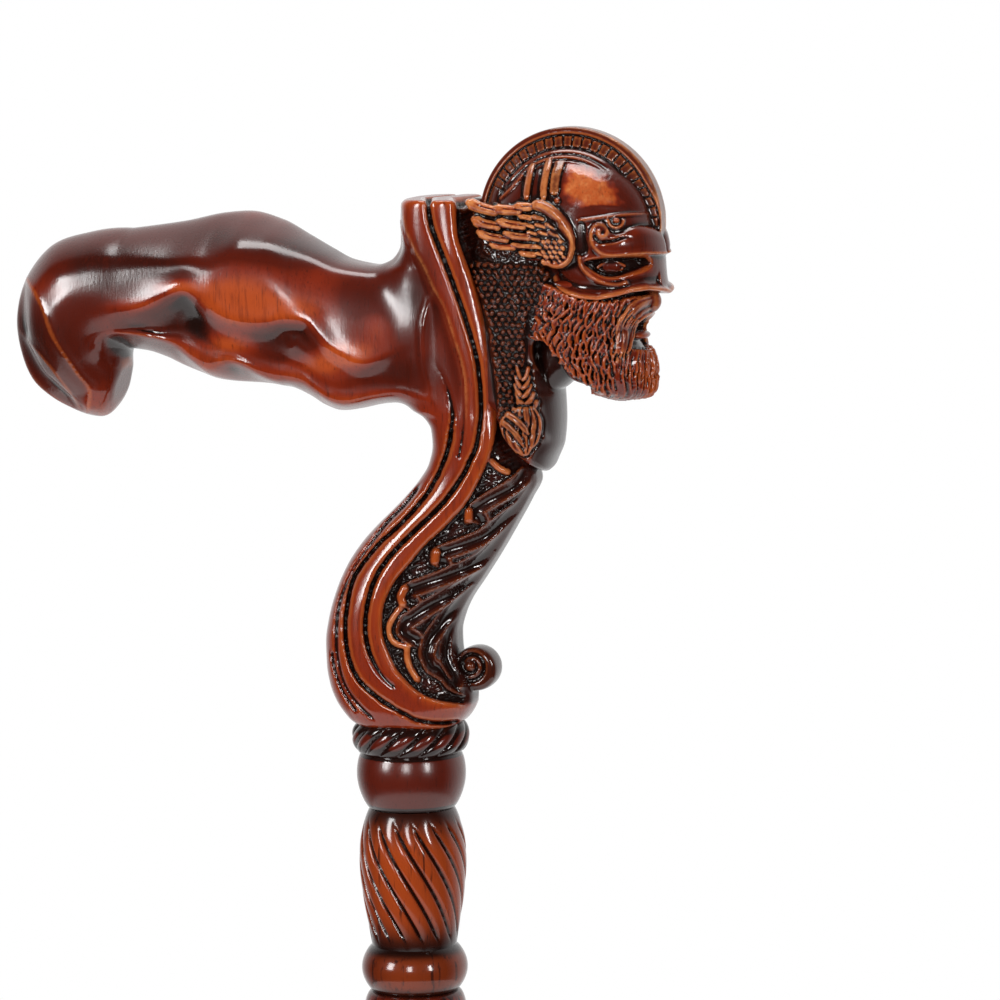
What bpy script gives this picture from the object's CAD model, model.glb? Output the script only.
import math
from copy import copy

import bmesh
import bpy
import numpy as np
from mathutils import Matrix, Vector


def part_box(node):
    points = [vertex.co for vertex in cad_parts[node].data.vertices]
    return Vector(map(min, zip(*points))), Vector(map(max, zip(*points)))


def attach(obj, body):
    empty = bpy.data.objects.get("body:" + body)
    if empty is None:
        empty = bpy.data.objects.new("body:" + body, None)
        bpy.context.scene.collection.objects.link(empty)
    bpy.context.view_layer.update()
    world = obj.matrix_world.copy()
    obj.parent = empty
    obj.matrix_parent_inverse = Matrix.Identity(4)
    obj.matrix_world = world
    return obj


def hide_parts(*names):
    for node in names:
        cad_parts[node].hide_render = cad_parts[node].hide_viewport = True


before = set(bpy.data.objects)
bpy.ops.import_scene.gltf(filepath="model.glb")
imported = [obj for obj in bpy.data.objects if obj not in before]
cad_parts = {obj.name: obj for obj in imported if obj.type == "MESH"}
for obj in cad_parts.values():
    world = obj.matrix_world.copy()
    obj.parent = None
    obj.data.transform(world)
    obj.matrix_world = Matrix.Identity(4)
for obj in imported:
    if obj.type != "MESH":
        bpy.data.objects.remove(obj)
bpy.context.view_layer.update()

MM = 0.001

# Main camera, then in mm how it sees the cane: from how far, round which place, and which shares of forward,
# side and height it sees as right, up and nearer
CAMERA_AZIMUTH, CAMERA_ELEVATION, CAMERA_ROLL = 16.0, 6.8, -0.9
CAMERA_DISTANCE = 1.3
PIXELS_PER_MM = 3.86
TARGET = (0.0253, 0.0, 0.823)
SENSOR = 36
SEEN_FROM = 1300.0
SEEN_MIDDLE = (25, 823)
SEEN_RIGHT = (0.961, -0.2756)
SEEN_UP = (-0.0326, -0.113, 0.993)
SEEN_NEARER = (0.2737, 0.9545, 0.1184)

# How far the carved sides stand from the middle, where the outlines were drawn
NECK_LEVEL, GRIP_LEVEL, HEAD_LEVEL = 14.0, 15.0, 13.0

# Turned parts, in mm, with the diameters and heights of the solids
BALL_FOOT_DIAMETER = 22.8
BALL_DIAMETER = 28.4
BALL_HEIGHT = 14.5
ROPE_DIAMETER = 31.0
ROPE_HEIGHT = 8.5
ROPE_DEPTH = 1.5
STRAND_COUNT = 16
STRAND_LEAN = math.radians(37)
FLUTE_COUNT = 16
FLUTE_DEPTH = 0.9
FLUTE_TWIST = math.radians(-92)
VASE_FOOT_DIAMETER = 22.4
VASE_DIAMETER = 28.2
VASE_TOP_DIAMETER = 22.2
VASE_RISE_HEIGHT = 23.5
VASE_FALL_HEIGHT = 13.0
RING_DIAMETER = 27.9
RING_HEIGHT = 12.1
COVE_DIAMETER = 22.2
SHAFT_TOP_DIAMETER = 27.0
SHAFT_FOOT_DIAMETER = 17.2
TAPER_FULLNESS = 1.6
SHOULDER_ROUNDING = 6.0
FERRULE_HEIGHT = 38.0
FERRULE_WALL = 1.5
FLARE_DIAMETER = 24.6
FLARE_HEIGHT = 11.0
SOLE_THICKNESS = 8.0
SEAT_GAP = 0.3
WASHER_THICKNESS = 1.5
SHAFT_FOOT = SOLE_THICKNESS + 2 * SEAT_GAP + WASHER_THICKNESS

# Sides round each turned part, and rings up the parts of each
FOOT_SIDES, SHAFT_SIDES, FERRULE_SIDES = 18 * STRAND_COUNT, 14 * FLUTE_COUNT, 96
BALL_RINGS, ROPE_RINGS = 26, 22
TAPER_RINGS, ROUNDING_RINGS, RING_RINGS, VASE_RINGS = 26, 11, 20, 70

# Moulded grooves of the sole, as inner and outer radius
SOLE_GROOVES = [(4.7, 6.5), (8.2, 9.6)]
SOLE_GROOVE_DEPTH = 1.0
SOLE_ROUNDING = 1.2
FLARE_DRAFT = 0.25

HANDLE_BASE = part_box("handle")[0].z / MM
BODY_BASE = HANDLE_BASE + BALL_HEIGHT + ROPE_HEIGHT
SHOULDER = HANDLE_BASE - SEAT_GAP - VASE_RISE_HEIGHT - VASE_FALL_HEIGHT - RING_HEIGHT

# Sample spacing along the plain grip, then forward, sideways and in height, and in the two blocks of the head
COARSE_STEP, FORWARD_STEP, SIDE_STEP, HEIGHT_STEP = 0.8, 0.44, 0.5, 0.46
HELMET_STEP, BUST_STEP = 0.32, 0.30

# Neck: edges and half thickness by height
NECK_BACK = [
    (-1.0, -13.6), (2.0, -16.4), (6.0, -19.0), (10.0, -20.4), (15.0, -21.1), (21.0, -21.2), (27.0, -20.3),
    (34.0, -18.3), (41.0, -15.2), (47.0, -11.1), (51.5, -7.0), (55.5, -2.8), (59.5, 1.2), (63.5, 4.7),
    (68.0, 7.6), (73.0, 8.8), (77.0, 8.4), (80.0, 6.6), (82.3, 4.0), (86.0, 3.0), (95.0, 3.0),
    (105.0, 2.0), (115.0, -1.6), (118.5, -2.0), (121.0, -0.8), (125.0, 0.6), (131.5, 0.8), (135.0, 1.2),
    (136.6, 2.2),
]
NECK_FRONT = [
    (-1.0, 14.0), (3.0, 16.8), (6.5, 18.0), (10.0, 17.6), (15.0, 15.2), (20.0, 14.0), (23.5, 13.9),
    (28.0, 15.0), (32.0, 16.9), (38.0, 21.0), (45.0, 25.6), (52.0, 29.8), (59.0, 33.8), (64.0, 36.2),
    (70.0, 34.0), (80.0, 31.0), (95.0, 30.0), (115.0, 27.0), (129.0, 24.0), (136.6, 22.5),
]
NECK_HALF_WIDTH = [
    (-1.0, 13.5), (5.0, 15.5), (15.0, 16.5), (30.0, 16.3), (45.0, 15.2), (60.0, 14.5), (80.0, 14.8),
    (100.0, 15.2), (120.0, 15.4), (136.6, 14.8),
]
NECK_SQUARENESS = 2.7

# Grip: top and underside by distance along, with its root inside the neck
GRIP_ROOT = -8.0
GRIP_LENGTH = 74.5
GRIP_SECTIONS, GRIP_TURNS = 290, 721
GRIP_TOP = [
    (-8.0, 117.0), (4.5, 118.7), (10.0, 119.4), (15.0, 120.5), (20.0, 123.0), (27.5, 127.0), (34.0, 130.3),
    (43.0, 132.4), (50.0, 131.9), (60.0, 130.0), (74.5, 128.2),
]
GRIP_UNDERSIDE = [
    (-8.0, 83.6), (0.0, 83.4), (5.0, 83.0), (11.0, 81.8), (17.0, 81.0), (21.0, 82.1), (25.0, 84.6),
    (30.0, 87.1), (35.0, 87.8), (45.0, 88.2), (55.0, 90.4), (60.0, 92.1), (65.0, 94.4), (70.0, 96.0),
    (74.5, 96.6),
]
POMMEL_TURN = 162.0
POMMEL_PATH = 60.0
POMMEL_INNER_RADIUS = 0.8
POMMEL_OUTER = [
    (20, 33.5), (40, 35.7), (55, 35.2), (72, 33.8), (90, 31.4), (105, 29.3), (118, 26.1), (130, 23.3),
    (143, 21.1), (152, 19.6), (162, 17.2),
]

# Lines that run along the grip and pommel: distance along, share of the height, side
GRIP_LINES = [
    # crown of the top
    [(-8, 1.0, 0.0), (20, 1.0, 1.0), (40, 1.0, 3.0), (60, 1.0, 2.0), (80, 1.0, 0.0), (134.5, 1.0, 0.0)],
    # near shoulder
    [(-8, 0.95, -8.0), (20, 0.93, -10.5), (30, 0.89, -11.8), (40, 0.84, -12.8), (50, 0.80, -12.8),
     (75, 0.82, -11.8), (100, 0.84, -11.0), (134.5, 0.86, -5.5)],
    # palm swell
    [(-8, 0.68, -13.0), (10, 0.66, -14.2), (30, 0.66, -16.8), (45, 0.63, -17.4), (55, 0.68, -16.0),
     (75, 0.60, -15.5), (100, 0.62, -14.8), (134.5, 0.64, -7.8)],
    # ridge above the finger hollows
    [(-8, 0.40, -13.5), (10, 0.33, -14.8), (20, 0.40, -16.0), (30, 0.395, -16.2), (40, 0.36, -16.3),
     (47, 0.41, -16.5), (55, 0.53, -16.8), (62, 0.44, -16.5), (70, 0.34, -16.0), (85, 0.38, -15.5),
     (100, 0.42, -15.0), (134.5, 0.45, -8.0)],
    # finger hollows
    [(-8, 0.20, -12.0), (10, 0.17, -13.2), (22, 0.24, -13.0), (35, 0.20, -12.8), (45, 0.22, -13.4),
     (55, 0.32, -13.0), (65, 0.24, -13.0), (78, 0.20, -13.8), (100, 0.26, -13.6), (134.5, 0.30, -7.2)],
    # lower edge on the finger side
    [(-8, 0.08, -10.5), (12, 0.05, -11.8), (22, 0.12, -12.0), (32, 0.05, -11.2), (43, 0.13, -12.6),
     (50, 0.08, -12.0), (60, 0.18, -12.8), (70, 0.14, -12.0), (100, 0.12, -10.8), (134.5, 0.14, -5.5)],
    # underside
    [(-8, 0.0, 1.0), (40, 0.0, 1.0), (134.5, 0.0, 0.0)],
    # lower edge on the thumb side
    [(-8, 0.10, 11.0), (30, 0.10, 11.8), (55, 0.14, 12.5), (75, 0.12, 11.5), (100, 0.12, 10.8),
     (134.5, 0.14, 5.5)],
    # thumb hollow
    [(-8, 0.36, 13.5), (20, 0.35, 14.5), (35, 0.36, 13.4), (50, 0.38, 12.4), (70, 0.35, 12.2),
     (85, 0.37, 13.0), (100, 0.40, 13.8), (134.5, 0.42, 7.6)],
    # ridge above the thumb hollow
    [(-8, 0.62, 13.5), (20, 0.62, 14.7), (40, 0.66, 15.8), (55, 0.64, 16.2), (75, 0.66, 16.0),
     (100, 0.66, 15.0), (134.5, 0.64, 7.8)],
    # far shoulder
    [(-8, 0.93, 8.0), (20, 0.94, 9.5), (40, 0.94, 10.8), (60, 0.92, 11.2), (80, 0.90, 11.0),
     (100, 0.86, 10.8), (134.5, 0.86, 5.5)],
]

# Carved lines of the neck, as (forward, height) on its side
BACK_GROOVE = [
    (9.6, 98.5), (12.6, 95.0), (14.8, 91.0), (16.2, 86.5), (16.9, 82.0), (16.6, 78.8), (15.8, 73.8),
    (13.5, 67.7), (10.4, 62.1), (7.4, 58.3), (4.4, 55.0), (0.1, 50.9), (-4.1, 47.1), (-10.2, 39.1),
    (-12.3, 31.0), (-12.9, 25.1), (-12.3, 19.0), (-10.8, 14.4), (-8.6, 11.2), (-5.8, 8.7), (-3.2, 6.8),
    (-0.3, 5.1), (3.3, 3.2), (5.9, 2.0), (11.0, 1.3), (16.9, 1.7),
]
MIDDLE_GROOVE = [
    (11.5, 138.5), (11.3, 135.0), (12.3, 130.0), (14.2, 125.0), (18.0, 115.0), (21.4, 105.0), (23.9, 95.0),
    (24.6, 85.0), (24.4, 80.6), (23.1, 73.6), (21.3, 69.8), (19.8, 66.6), (15.2, 60.2), (10.9, 55.7),
    (7.3, 52.4), (0.1, 45.4), (-4.2, 39.5), (-6.6, 33.0), (-7.5, 26.0), (-6.8, 20.5), (-4.7, 15.6),
    (-2.3, 12.4), (-0.1, 10.6),
]
BAND_FRONT = [
    (18.7, 138.5), (18.7, 130.0), (19.9, 125.0), (23.7, 115.0), (26.4, 105.0), (27.9, 95.0), (29.2, 86.0),
    (28.9, 80.7), (28.1, 76.3), (27.0, 72.3), (25.7, 69.0), (22.1, 62.0), (19.9, 58.5), (17.5, 55.9),
    (13.3, 51.7), (9.7, 48.5), (6.6, 45.2), (3.6, 41.7), (1.0, 38.8), (-1.1, 35.3), (-2.5, 32.0),
    (-3.1, 27.9), (-3.0, 24.8), (-2.3, 21.6), (0.3, 15.8), (2.3, 13.2), (4.9, 10.6), (7.2, 8.9), (9.6, 7.8),
    (13.7, 6.8), (18.0, 6.3),
]
COLLAR_EDGE = [
    (3.0, 138.5), (3.7, 135.0), (4.6, 130.0), (6.7, 125.0), (9.5, 120.0), (11.6, 115.0), (14.5, 110.0),
    (16.2, 105.0), (17.8, 100.0), (19.2, 95.0), (20.0, 90.0), (20.1, 84.0), (19.6, 77.0), (18.4, 71.0),
]
BACK_FLUTES = [
    [(9.0, 64.9), (4.0, 58.5), (-1.5, 53.0), (-6.6, 46.4), (-10.7, 40.6), (-14.2, 32.4), (-15.3, 24.8),
     (-15.1, 17.9), (-13.3, 10.9), (-9.5, 5.5), (-4.5, 1.0)],
    [(-16.6, 20.0), (-15.9, 15.0), (-13.8, 9.2), (-10.1, 3.7)],
]

# Back band: its edge is the groove below the first height, and the collar's edge above the second
OUT_OF_REACH = 40
BACK_GROOVE_TOP, COLLAR_FOOT = 78, 70
BAND_CROWN = 0.9

# Leaves of the neck: top edge from the front of the neck round the tip, then the corners that close the leaf
LEAVES = [
    ([(35.3, 68.9), (31.4, 65.3), (25.7, 62.0), (22.7, 60.0), (20.9, 58.5), (19.9, 55.9), (19.4, 53.7),
      (20.5, 53.2), (22.0, 53.6)], [(48, 45), (48, 69)]),
    ([(39.2, 67.0), (36.1, 62.9), (33.1, 59.5), (29.5, 57.0), (23.8, 52.5), (19.9, 50.6), (15.1, 48.8),
      (11.4, 47.3), (10.1, 45.6), (10.3, 42.7), (11.7, 42.0)], [(48, 30), (48, 67)]),
    ([(36.0, 59.1), (33.9, 56.4), (28.5, 51.0), (22.8, 46.3), (15.0, 42.4), (7.8, 39.6), (4.2, 38.2),
      (2.4, 36.7), (1.0, 34.1), (2.0, 32.1), (3.8, 30.8)], [(40, 15), (48, 59)]),
    ([(27.5, 46.5), (24.9, 42.6), (20.0, 39.7), (15.5, 37.5), (8.6, 33.7), (3.8, 30.4), (2.2, 29.5),
      (1.0, 27.4), (0.5, 25.0), (1.6, 23.0), (4.4, 21.2)], [(40, 8), (48, 46)]),
    ([(21.5, 38.2), (19.1, 36.2), (13.3, 31.1), (10.9, 28.5), (8.5, 25.2), (7.2, 22.3), (6.6, 19.7),
      (6.9, 17.7), (8.3, 14.8), (9.3, 14.0), (12.4, 12.2), (14.2, 10.2), (17.1, 8.8), (21.0, 8.3)],
     [(40, 8), (40, 38)]),
    ([(19.0, 32.4), (17.5, 29.5), (14.5, 26.5), (12.6, 22.4), (12.0, 19.2), (12.8, 16.1), (14.5, 13.2)],
     [(19, 8.8), (40, 8), (40, 32)]),
    ([(17.2, 28.3), (15.9, 25.1), (15.3, 21.9), (15.4, 19.0), (16.4, 16.1), (18.2, 14.1), (19.7, 13.1)],
     [(40, 9), (40, 28)]),
]
LEAF_FLUTE = 4.4
LEAF_GROUND = -2.9
HATCH_WAVE = 1.2
LEAF_THUMBS = [
    [(20.9, 56.6), (20.7, 54.8)], [(12.0, 45.8), (11.5, 43.6)], [(3.2, 36.2), (2.2, 34.2), (2.6, 32.6)],
]
LEAF_STRIPS = [
    [(2.4, 31.6), (0.0, 28.5), (-1.2, 26.0), (-0.7, 23.2), (1.0, 21.8), (3.8, 21.0)],
    [(3.6, 20.8), (3.6, 18.4), (4.4, 15.6), (6.2, 12.7)],
    [(27.0, 70.0), (29.5, 68.0), (31.5, 67.2)],
]

# Scroll at the front foot of the neck
SCROLL_FORWARD = 18.7
SCROLL_HEIGHT = 14.1
SCROLL_RADIUS = 5.9
SCROLL_HALF_WIDTH = 4.6
SCROLL_EYE = (-0.9, 1.0)
SCROLL_PITCH = 2.1

# Carved lines of the grip's finger side, and of its pommel
FINGER_RIDGE = [
    (9.0, 99.3), (5.0, 100.3), (0.0, 98.0), (-4.0, 96.0), (-8.0, 95.4), (-12.0, 97.0), (-16.0, 99.5),
    (-19.0, 103.0), (-22.0, 106.0), (-28.0, 106.5), (-33.0, 105.3), (-38.0, 105.3), (-43.0, 106.3),
    (-47.0, 108.5), (-51.0, 112.0), (-55.0, 113.6), (-60.0, 112.0), (-66.0, 109.2), (-72.0, 108.4),
    (-80.0, 109.1),
]
LOWER_RIDGE = [
    (6.0, 88.0), (0.0, 86.6), (-8.0, 85.4), (-12.0, 86.0), (-16.0, 90.0), (-20.0, 91.8), (-27.0, 92.0),
    (-31.0, 93.2), (-36.0, 96.4), (-41.0, 97.0), (-46.0, 96.0), (-51.0, 97.5), (-57.0, 101.0),
    (-63.0, 103.0), (-69.0, 102.6), (-75.0, 101.0),
]
POMMEL_CREASES = [
    [(-98.6, 122.0), (-97.6, 116.5), (-93.5, 109.1), (-90.0, 100.1), (-84.0, 91.1), (-80.6, 86.5),
     (-81.4, 80.0)],
    [(-103.5, 108.5), (-98.5, 101.1), (-90.0, 91.1), (-84.0, 83.1), (-82.4, 78.0)],
]

# Stain rubbed deeper or lighter on the grip: forward, height, reaches along both, strength
STAIN = [
    (-56.0, 106.0, 9.0, 5.5, -1.1), (-27.0, 100.6, 10.0, 4.4, -1.0), (3.0, 93.0, 10.0, 4.5, -0.8),
    (-63.0, 119.5, 15.0, 5.0, -1.1), (-80.0, 118.0, 16.0, 9.0, -1.1), (-6.0, 112.0, 10.0, 7.0, -0.8),
    (7.0, 112.0, 5.0, 10.0, -0.9), (-22.0, 124.0, 20.0, 4.0, -1.0), (-88.0, 96.0, 18.0, 13.0, -0.9),
    (-45.0, 128.0, 20.0, 5.0, -0.8), (-98.0, 104.0, 9.0, 14.0, -0.5),
    (-41.0, 111.5, 10.0, 6.0, 1.1), (-29.0, 108.8, 9.0, 3.0, 0.9), (-57.0, 114.4, 8.0, 2.0, 1.0),
    (-68.0, 109.6, 8.0, 2.0, 0.7), (-11.0, 98.0, 7.0, 2.6, 1.1), (-17.0, 94.5, 9.0, 2.8, 0.8),
    (-42.0, 99.4, 9.0, 3.0, 0.8), (-3.0, 105.0, 4.0, 5.0, 0.5), (-90.0, 113.0, 8.0, 6.0, 0.7),
    (-17.0, 111.0, 8.0, 8.0, 0.35), (-78.0, 103.0, 6.0, 8.0, 0.35),
]

# Carved lines of the grip's thumb side, with forward places as on the near side
THUMB_RIDGE = [
    (-22.0, 97.0), (-30.0, 107.0), (-40.0, 113.0), (-55.0, 116.6), (-75.0, 115.1), (-88.0, 111.1),
    (-94.0, 103.1), (-95.0, 93.1), (-90.0, 83.5),
]
TOP_RIDGE = [(-6.0, 101.0), (-16.0, 108.5), (-30.0, 118.0), (-43.0, 124.5), (-56.0, 128.0)]
THUMB_HOLLOW = [
    (-38.0, 104.0), (-46.0, 97.5), (-60.0, 96.5), (-76.0, 99.0), (-86.0, 103.0), (-84.0, 109.0),
    (-72.0, 112.0), (-56.0, 113.0), (-44.0, 110.0),
]
HATCH_COUNT, HATCH_START, HATCH_PITCH = 10, -48, 3.6

# Head: forward places and heights above the sole, as they show from the side
HEAD_AXIS = 50.0
HEAD_ROUND = 16.0
LEVEL_ROUNDING = 1.5
HEAD_CRISPNESS = 0.7
HEAD_TONE = -0.55
TURNED_TONE = -0.25
CHIN_BASE = BODY_BASE + 92.5
CROWN_BASE = CHIN_BASE + 56.0

# Helmet's dome, and its comb as (radius, half thickness)
DOME_FORWARD = 46.5
DOME_RADII = (21.5, 16.3, 20.0)
COMB_FORWARD = 45.7
COMB_DROP = 18.0
COMB_RADIUS = 24.2
COMB_PROFILE = [(14.0, 9.0), (17.0, 6.8), (18.5, 5.2), (20.0, 4.1), (21.9, 3.3), (24.1, 2.8)]
COMB_FIRST, COMB_LAST = -15.0, 176.0
COMB_BLOCKS = (19.3, 21.9)
COMB_BLOCK_START, COMB_BLOCK_PITCH, COMB_BLOCK_END = -3.6, 6.9, 155.0
COMB_LINES = [(22.8, 0.35, 0.45), (18.1, 0.50, 0.25), (16.8, 0.45, 0.55), (15.6, 0.30, 0.35)]
COMB_GAPS = [(22.2, 0.22, 0.7), (19.0, 0.25, 0.7), (17.45, 0.2, 0.6), (16.1, 0.2, 0.5)]
COMB_STRANDS = [
    [(27.6, 905.4), (30.4, 909.4), (34.0, 912.2), (38.4, 914.4)],
    [(28.8, 904.0), (32.6, 908.0), (36.6, 911.4)],
    [(30.4, 903.4), (33.6, 906.4), (36.4, 909.6)],
]

# Eye guard: height, back, front and half width; its lower rim and the carving on it
GUARD_LEVELS = [
    (873.0, 43.0, 69.8, 15.0), (876.7, 40.5, 70.2, 15.6), (878.4, 40.0, 70.6, 15.7),
    (881.4, 40.5, 70.2, 15.4), (883.9, 40.5, 70.0, 15.4), (887.4, 40.0, 69.8, 15.8),
    (891.9, 40.0, 69.0, 16.1), (895.9, 40.0, 67.6, 16.1), (899.0, 41.0, 65.5, 15.2),
    (901.4, 43.0, 62.0, 13.6),
]
GUARD_RIM = [
    (40.0, 890.0), (43.6, 886.0), (45.3, 882.6), (46.2, 880.5), (48.5, 878.9), (51.5, 878.0), (56.0, 877.7),
    (60.3, 878.6), (64.8, 879.9), (69.3, 880.6), (73.0, 880.3), (75.4, 879.8),
]
BROW_LINE = [(51.7, 898.0), (55.6, 898.6), (60.1, 899.3), (63.7, 899.8), (68.5, 900.3)]
BROW_SHIELD = [
    (59.4, 895.4), (57.6, 896.9), (55.6, 896.8), (54.3, 895.0), (54.4, 893.0), (54.9, 891.4), (56.3, 889.8),
    (58.2, 888.9), (61.0, 888.8), (64.5, 889.2), (69.0, 889.6), (73.6, 889.7), (73.8, 893.6), (71.4, 895.9),
    (68.0, 896.9), (65.0, 896.5), (63.0, 895.2), (61.0, 894.7),
]
BROW_CURL = [
    (74.0, 889.8), (69.0, 889.6), (64.5, 889.2), (60.8, 888.8), (57.9, 889.0), (56.1, 890.0), (54.8, 891.7),
    (54.4, 893.4), (54.6, 895.2), (55.6, 896.8), (57.2, 897.2), (58.6, 896.2), (58.7, 894.8), (57.6, 893.9),
    (56.5, 894.3), (56.4, 895.2),
]
CURL_GAP = [
    (66.0, 893.8), (63.0, 893.6), (60.4, 892.8), (58.6, 892.6), (56.8, 892.4), (55.7, 893.6),
    (55.6, 894.8),
]
SMALL_CURL = [(58.9, 898.2), (59.5, 896.9), (61.0, 896.2), (62.4, 896.8), (62.8, 898.2)]
TEMPLE_RECESS = [(51.2, 897.4), (53.2, 897.2), (53.2, 893.6), (53.9, 890.4), (53.0, 888.9), (51.2, 889.4)]
EYE_OPENING = [
    (52.4, 886.9), (54.4, 887.9), (59.8, 888.6), (66.4, 888.9), (70.0, 888.7), (71.1, 886.9), (69.3, 885.3),
    (66.3, 884.2), (62.8, 883.3), (59.2, 883.1), (56.3, 883.9), (53.9, 885.4),
]
EYE_RIM = [
    (51.5, 888.2), (51.8, 886.2), (53.6, 884.1), (56.2, 882.4), (58.9, 881.5), (61.8, 881.4),
    (64.0, 882.0),
]
EYE_PLACE = (61.0, 886.0)
GUARD_STUD = (61.0, 898.2)

# Ball and lids of the eye, from its middle: line, half width, level, crown
EYE_STROKES = [
    ([(-0.8, 0), (0.8, 0)], 2.1, -3.5, 1.6),
    ([(-3.6, -0.3), (-1.6, 1.1), (0.8, 1.4), (3.4, 0.3)], 0.5, -2.7, 0.8),
    ([(-3.2, -0.8), (0, -1.7), (3.0, -0.5)], 0.4, -2.8, 0.6),
]

# Raised lines of the guard: line, width, height, share of lighter wood
GUARD_LINES = [
    (BROW_LINE, 0.40, 0.6, 0.1), (BROW_CURL, 0.50, 0.8, 0.5), (SMALL_CURL, 0.40, 0.8, 0.5),
    (EYE_RIM, 0.60, 0.9, 0.25),
]

# Dome: smooth stippled field, ribs behind it, and their studs
DOME_FIELD = [
    (48.9, 913.2), (54.2, 911.8), (58.7, 909.9), (61.6, 907.1), (62.7, 903.6), (61.2, 901.0), (57.9, 899.9),
    (54.0, 899.8), (50.8, 901.0), (48.1, 903.3), (46.6, 905.3), (47.2, 908.0), (48.2, 911.2),
]
DOME_RIBS = [
    ([(39.8, 914.4), (38.6, 910.8), (37.7, 906.5), (37.4, 904.4)], 0.95, 0.85),
    ([(44.1, 914.9), (43.0, 911.0), (42.1, 906.6), (42.0, 904.2)], 1.05, 0.8),
    ([(46.8, 913.8), (45.4, 909.5), (44.9, 905.6)], 1.3, 0.3),
]
DOME_STUDS = [(37.4, 903.6), (42.0, 903.5), (45.6, 903.0)]

# Wing: base behind the feathers, smooth shoulder with its inner edge, then feathers as (line, half width)
WING_BASE = [
    (22.4, 902.0), (30.0, 900.8), (36.0, 901.4), (42.0, 902.4), (46.8, 900.0), (49.7, 896.4), (50.6, 892.3),
    (50.2, 889.4), (49.0, 886.8), (46.6, 885.4), (43.6, 885.6), (40.6, 887.6), (36.0, 888.8), (33.0, 889.9),
    (28.0, 890.8), (25.0, 893.8), (23.4, 896.8), (22.6, 899.6),
]
WING_SHOULDER = [
    (38.4, 901.0), (39.2, 902.9), (41.2, 903.3), (44.1, 902.2), (46.8, 900.1), (49.7, 896.4), (50.6, 892.3),
    (50.2, 889.4), (49.0, 886.8), (46.6, 885.3), (43.6, 885.5), (41.6, 887.0), (43.3, 887.0), (45.4, 886.8),
    (47.5, 888.2), (48.3, 890.0), (48.2, 892.2), (47.3, 893.4), (45.5, 895.7), (44.9, 897.1), (42.9, 898.5),
    (41.1, 899.7),
]
FEATHERS = [
    ([(21.9, 902.1), (24.7, 900.9), (28.6, 899.9)], 1.5),
    ([(29.1, 900.6), (31.4, 900.3), (35.0, 900.2)], 1.4),
    ([(23.3, 897.7), (25.5, 896.6), (29.2, 896.0)], 1.45),
    ([(29.9, 897.3), (32.1, 896.6), (36.2, 896.1)], 1.35),
    ([(24.5, 894.5), (27.0, 893.4), (31.6, 892.6)], 1.25),
    ([(31.5, 894.3), (33.9, 893.6), (37.6, 893.3)], 1.2),
    ([(27.8, 891.3), (30.0, 890.8), (33.6, 890.6)], 0.95),
    ([(33.4, 891.4), (36.0, 891.0), (39.0, 890.9)], 0.85),
    ([(35.6, 889.3), (37.0, 889.0), (39.2, 888.8)], 0.9),
    ([(34.6, 901.2), (36.0, 901.2), (38.0, 901.2)], 1.25), ([(35.5, 898.8), (38.2, 898.3)], 0.9),
    ([(39.0, 898.7), (41.8, 898.2)], 0.85), ([(36.5, 896.8), (39.1, 896.0)], 0.75),
    ([(39.8, 896.7), (42.2, 896.1)], 0.75), ([(42.5, 896.9), (45.0, 895.6)], 0.8),
    ([(37.5, 894.7), (39.8, 894.2)], 0.7), ([(40.5, 894.8), (42.8, 894.2)], 0.7),
    ([(43.3, 894.8), (45.1, 894.0)], 0.7), ([(45.4, 894.1), (47.3, 892.3)], 0.65),
    ([(38.1, 893.1), (40.5, 892.6)], 0.75), ([(39.2, 891.1), (41.0, 890.7)], 0.75),
    ([(39.9, 889.2), (41.8, 888.8)], 0.65),
]

# Staggered scales of the wing: first place, columns and rows, pitch, row pitch, jitter
WING_SCALES = ((41.6, 887.0), (4, 5), 1.5, 1.305, 0.2)

# Distances of the wing's carving from the middle of the head
WING_ROOT, WING_FACE = 5.0, 14.3
FEATHER_LEVEL, FEATHER_CROWN = 15.1, 2.1
SCALE_LEVEL, SCALE_CROWN = 15.5, 1.5
EDGE_LEVEL, EDGE_CROWN = 15.0, 2.9

# Bust: height, back, front and half width, then the mail, braid, tuft and bare chest carved on its side.
# The beads of the mail are placed like the scales of the wing.
BUST_LEVELS = [
    (829.2, 33.0, 37.0, 5.0), (830.8, 29.4, 38.8, 9.6), (834.0, 25.5, 40.4, 12.4),
    (838.5, 22.2, 42.2, 13.4), (845.0, 20.0, 42.8, 13.6), (851.0, 20.0, 42.6, 13.5),
    (856.0, 20.0, 41.6, 13.4), (862.0, 20.0, 41.4, 13.2), (870.0, 20.0, 46.0, 13.5),
    (880.0, 20.0, 47.0, 13.8), (890.0, 20.5, 44.0, 13.8), (900.5, 21.0, 40.0, 13.0),
]
BUST_OUTLINE = [
    (10.0, 908.0), (10.0, 850.0), (26.0, 849.0), (28.6, 845.6), (30.0, 841.4), (32.4, 838.0), (35.4, 835.2),
    (38.6, 833.2), (42.0, 832.2), (46.0, 832.0), (60.0, 832.0), (60.0, 908.0),
]
MAIL_OUTLINE = [
    (21.4, 886.6), (23.0, 881.0), (26.0, 872.0), (27.4, 862.0), (28.6, 852.0), (29.0, 846.5), (31.4, 847.4),
    (33.6, 849.2), (32.8, 853.6), (34.0, 857.4), (36.0, 860.0), (36.6, 864.0), (36.4, 868.4), (37.4, 872.6),
    (39.6, 877.4), (42.4, 881.4), (43.6, 883.6), (41.0, 885.8), (32.0, 886.4), (26.0, 886.8),
]
MAIL_BEADS = ((20.5, 845.5), (14, 29), 1.8, 1.548, 0.25)
THROAT = [
    (38.4, 865.4), (40.6, 867.4), (43.6, 865.4), (46.4, 861.0), (47.6, 856.6), (45.6, 854.6), (42.6, 855.8),
    (40.2, 858.4), (38.4, 861.6),
]
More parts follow.
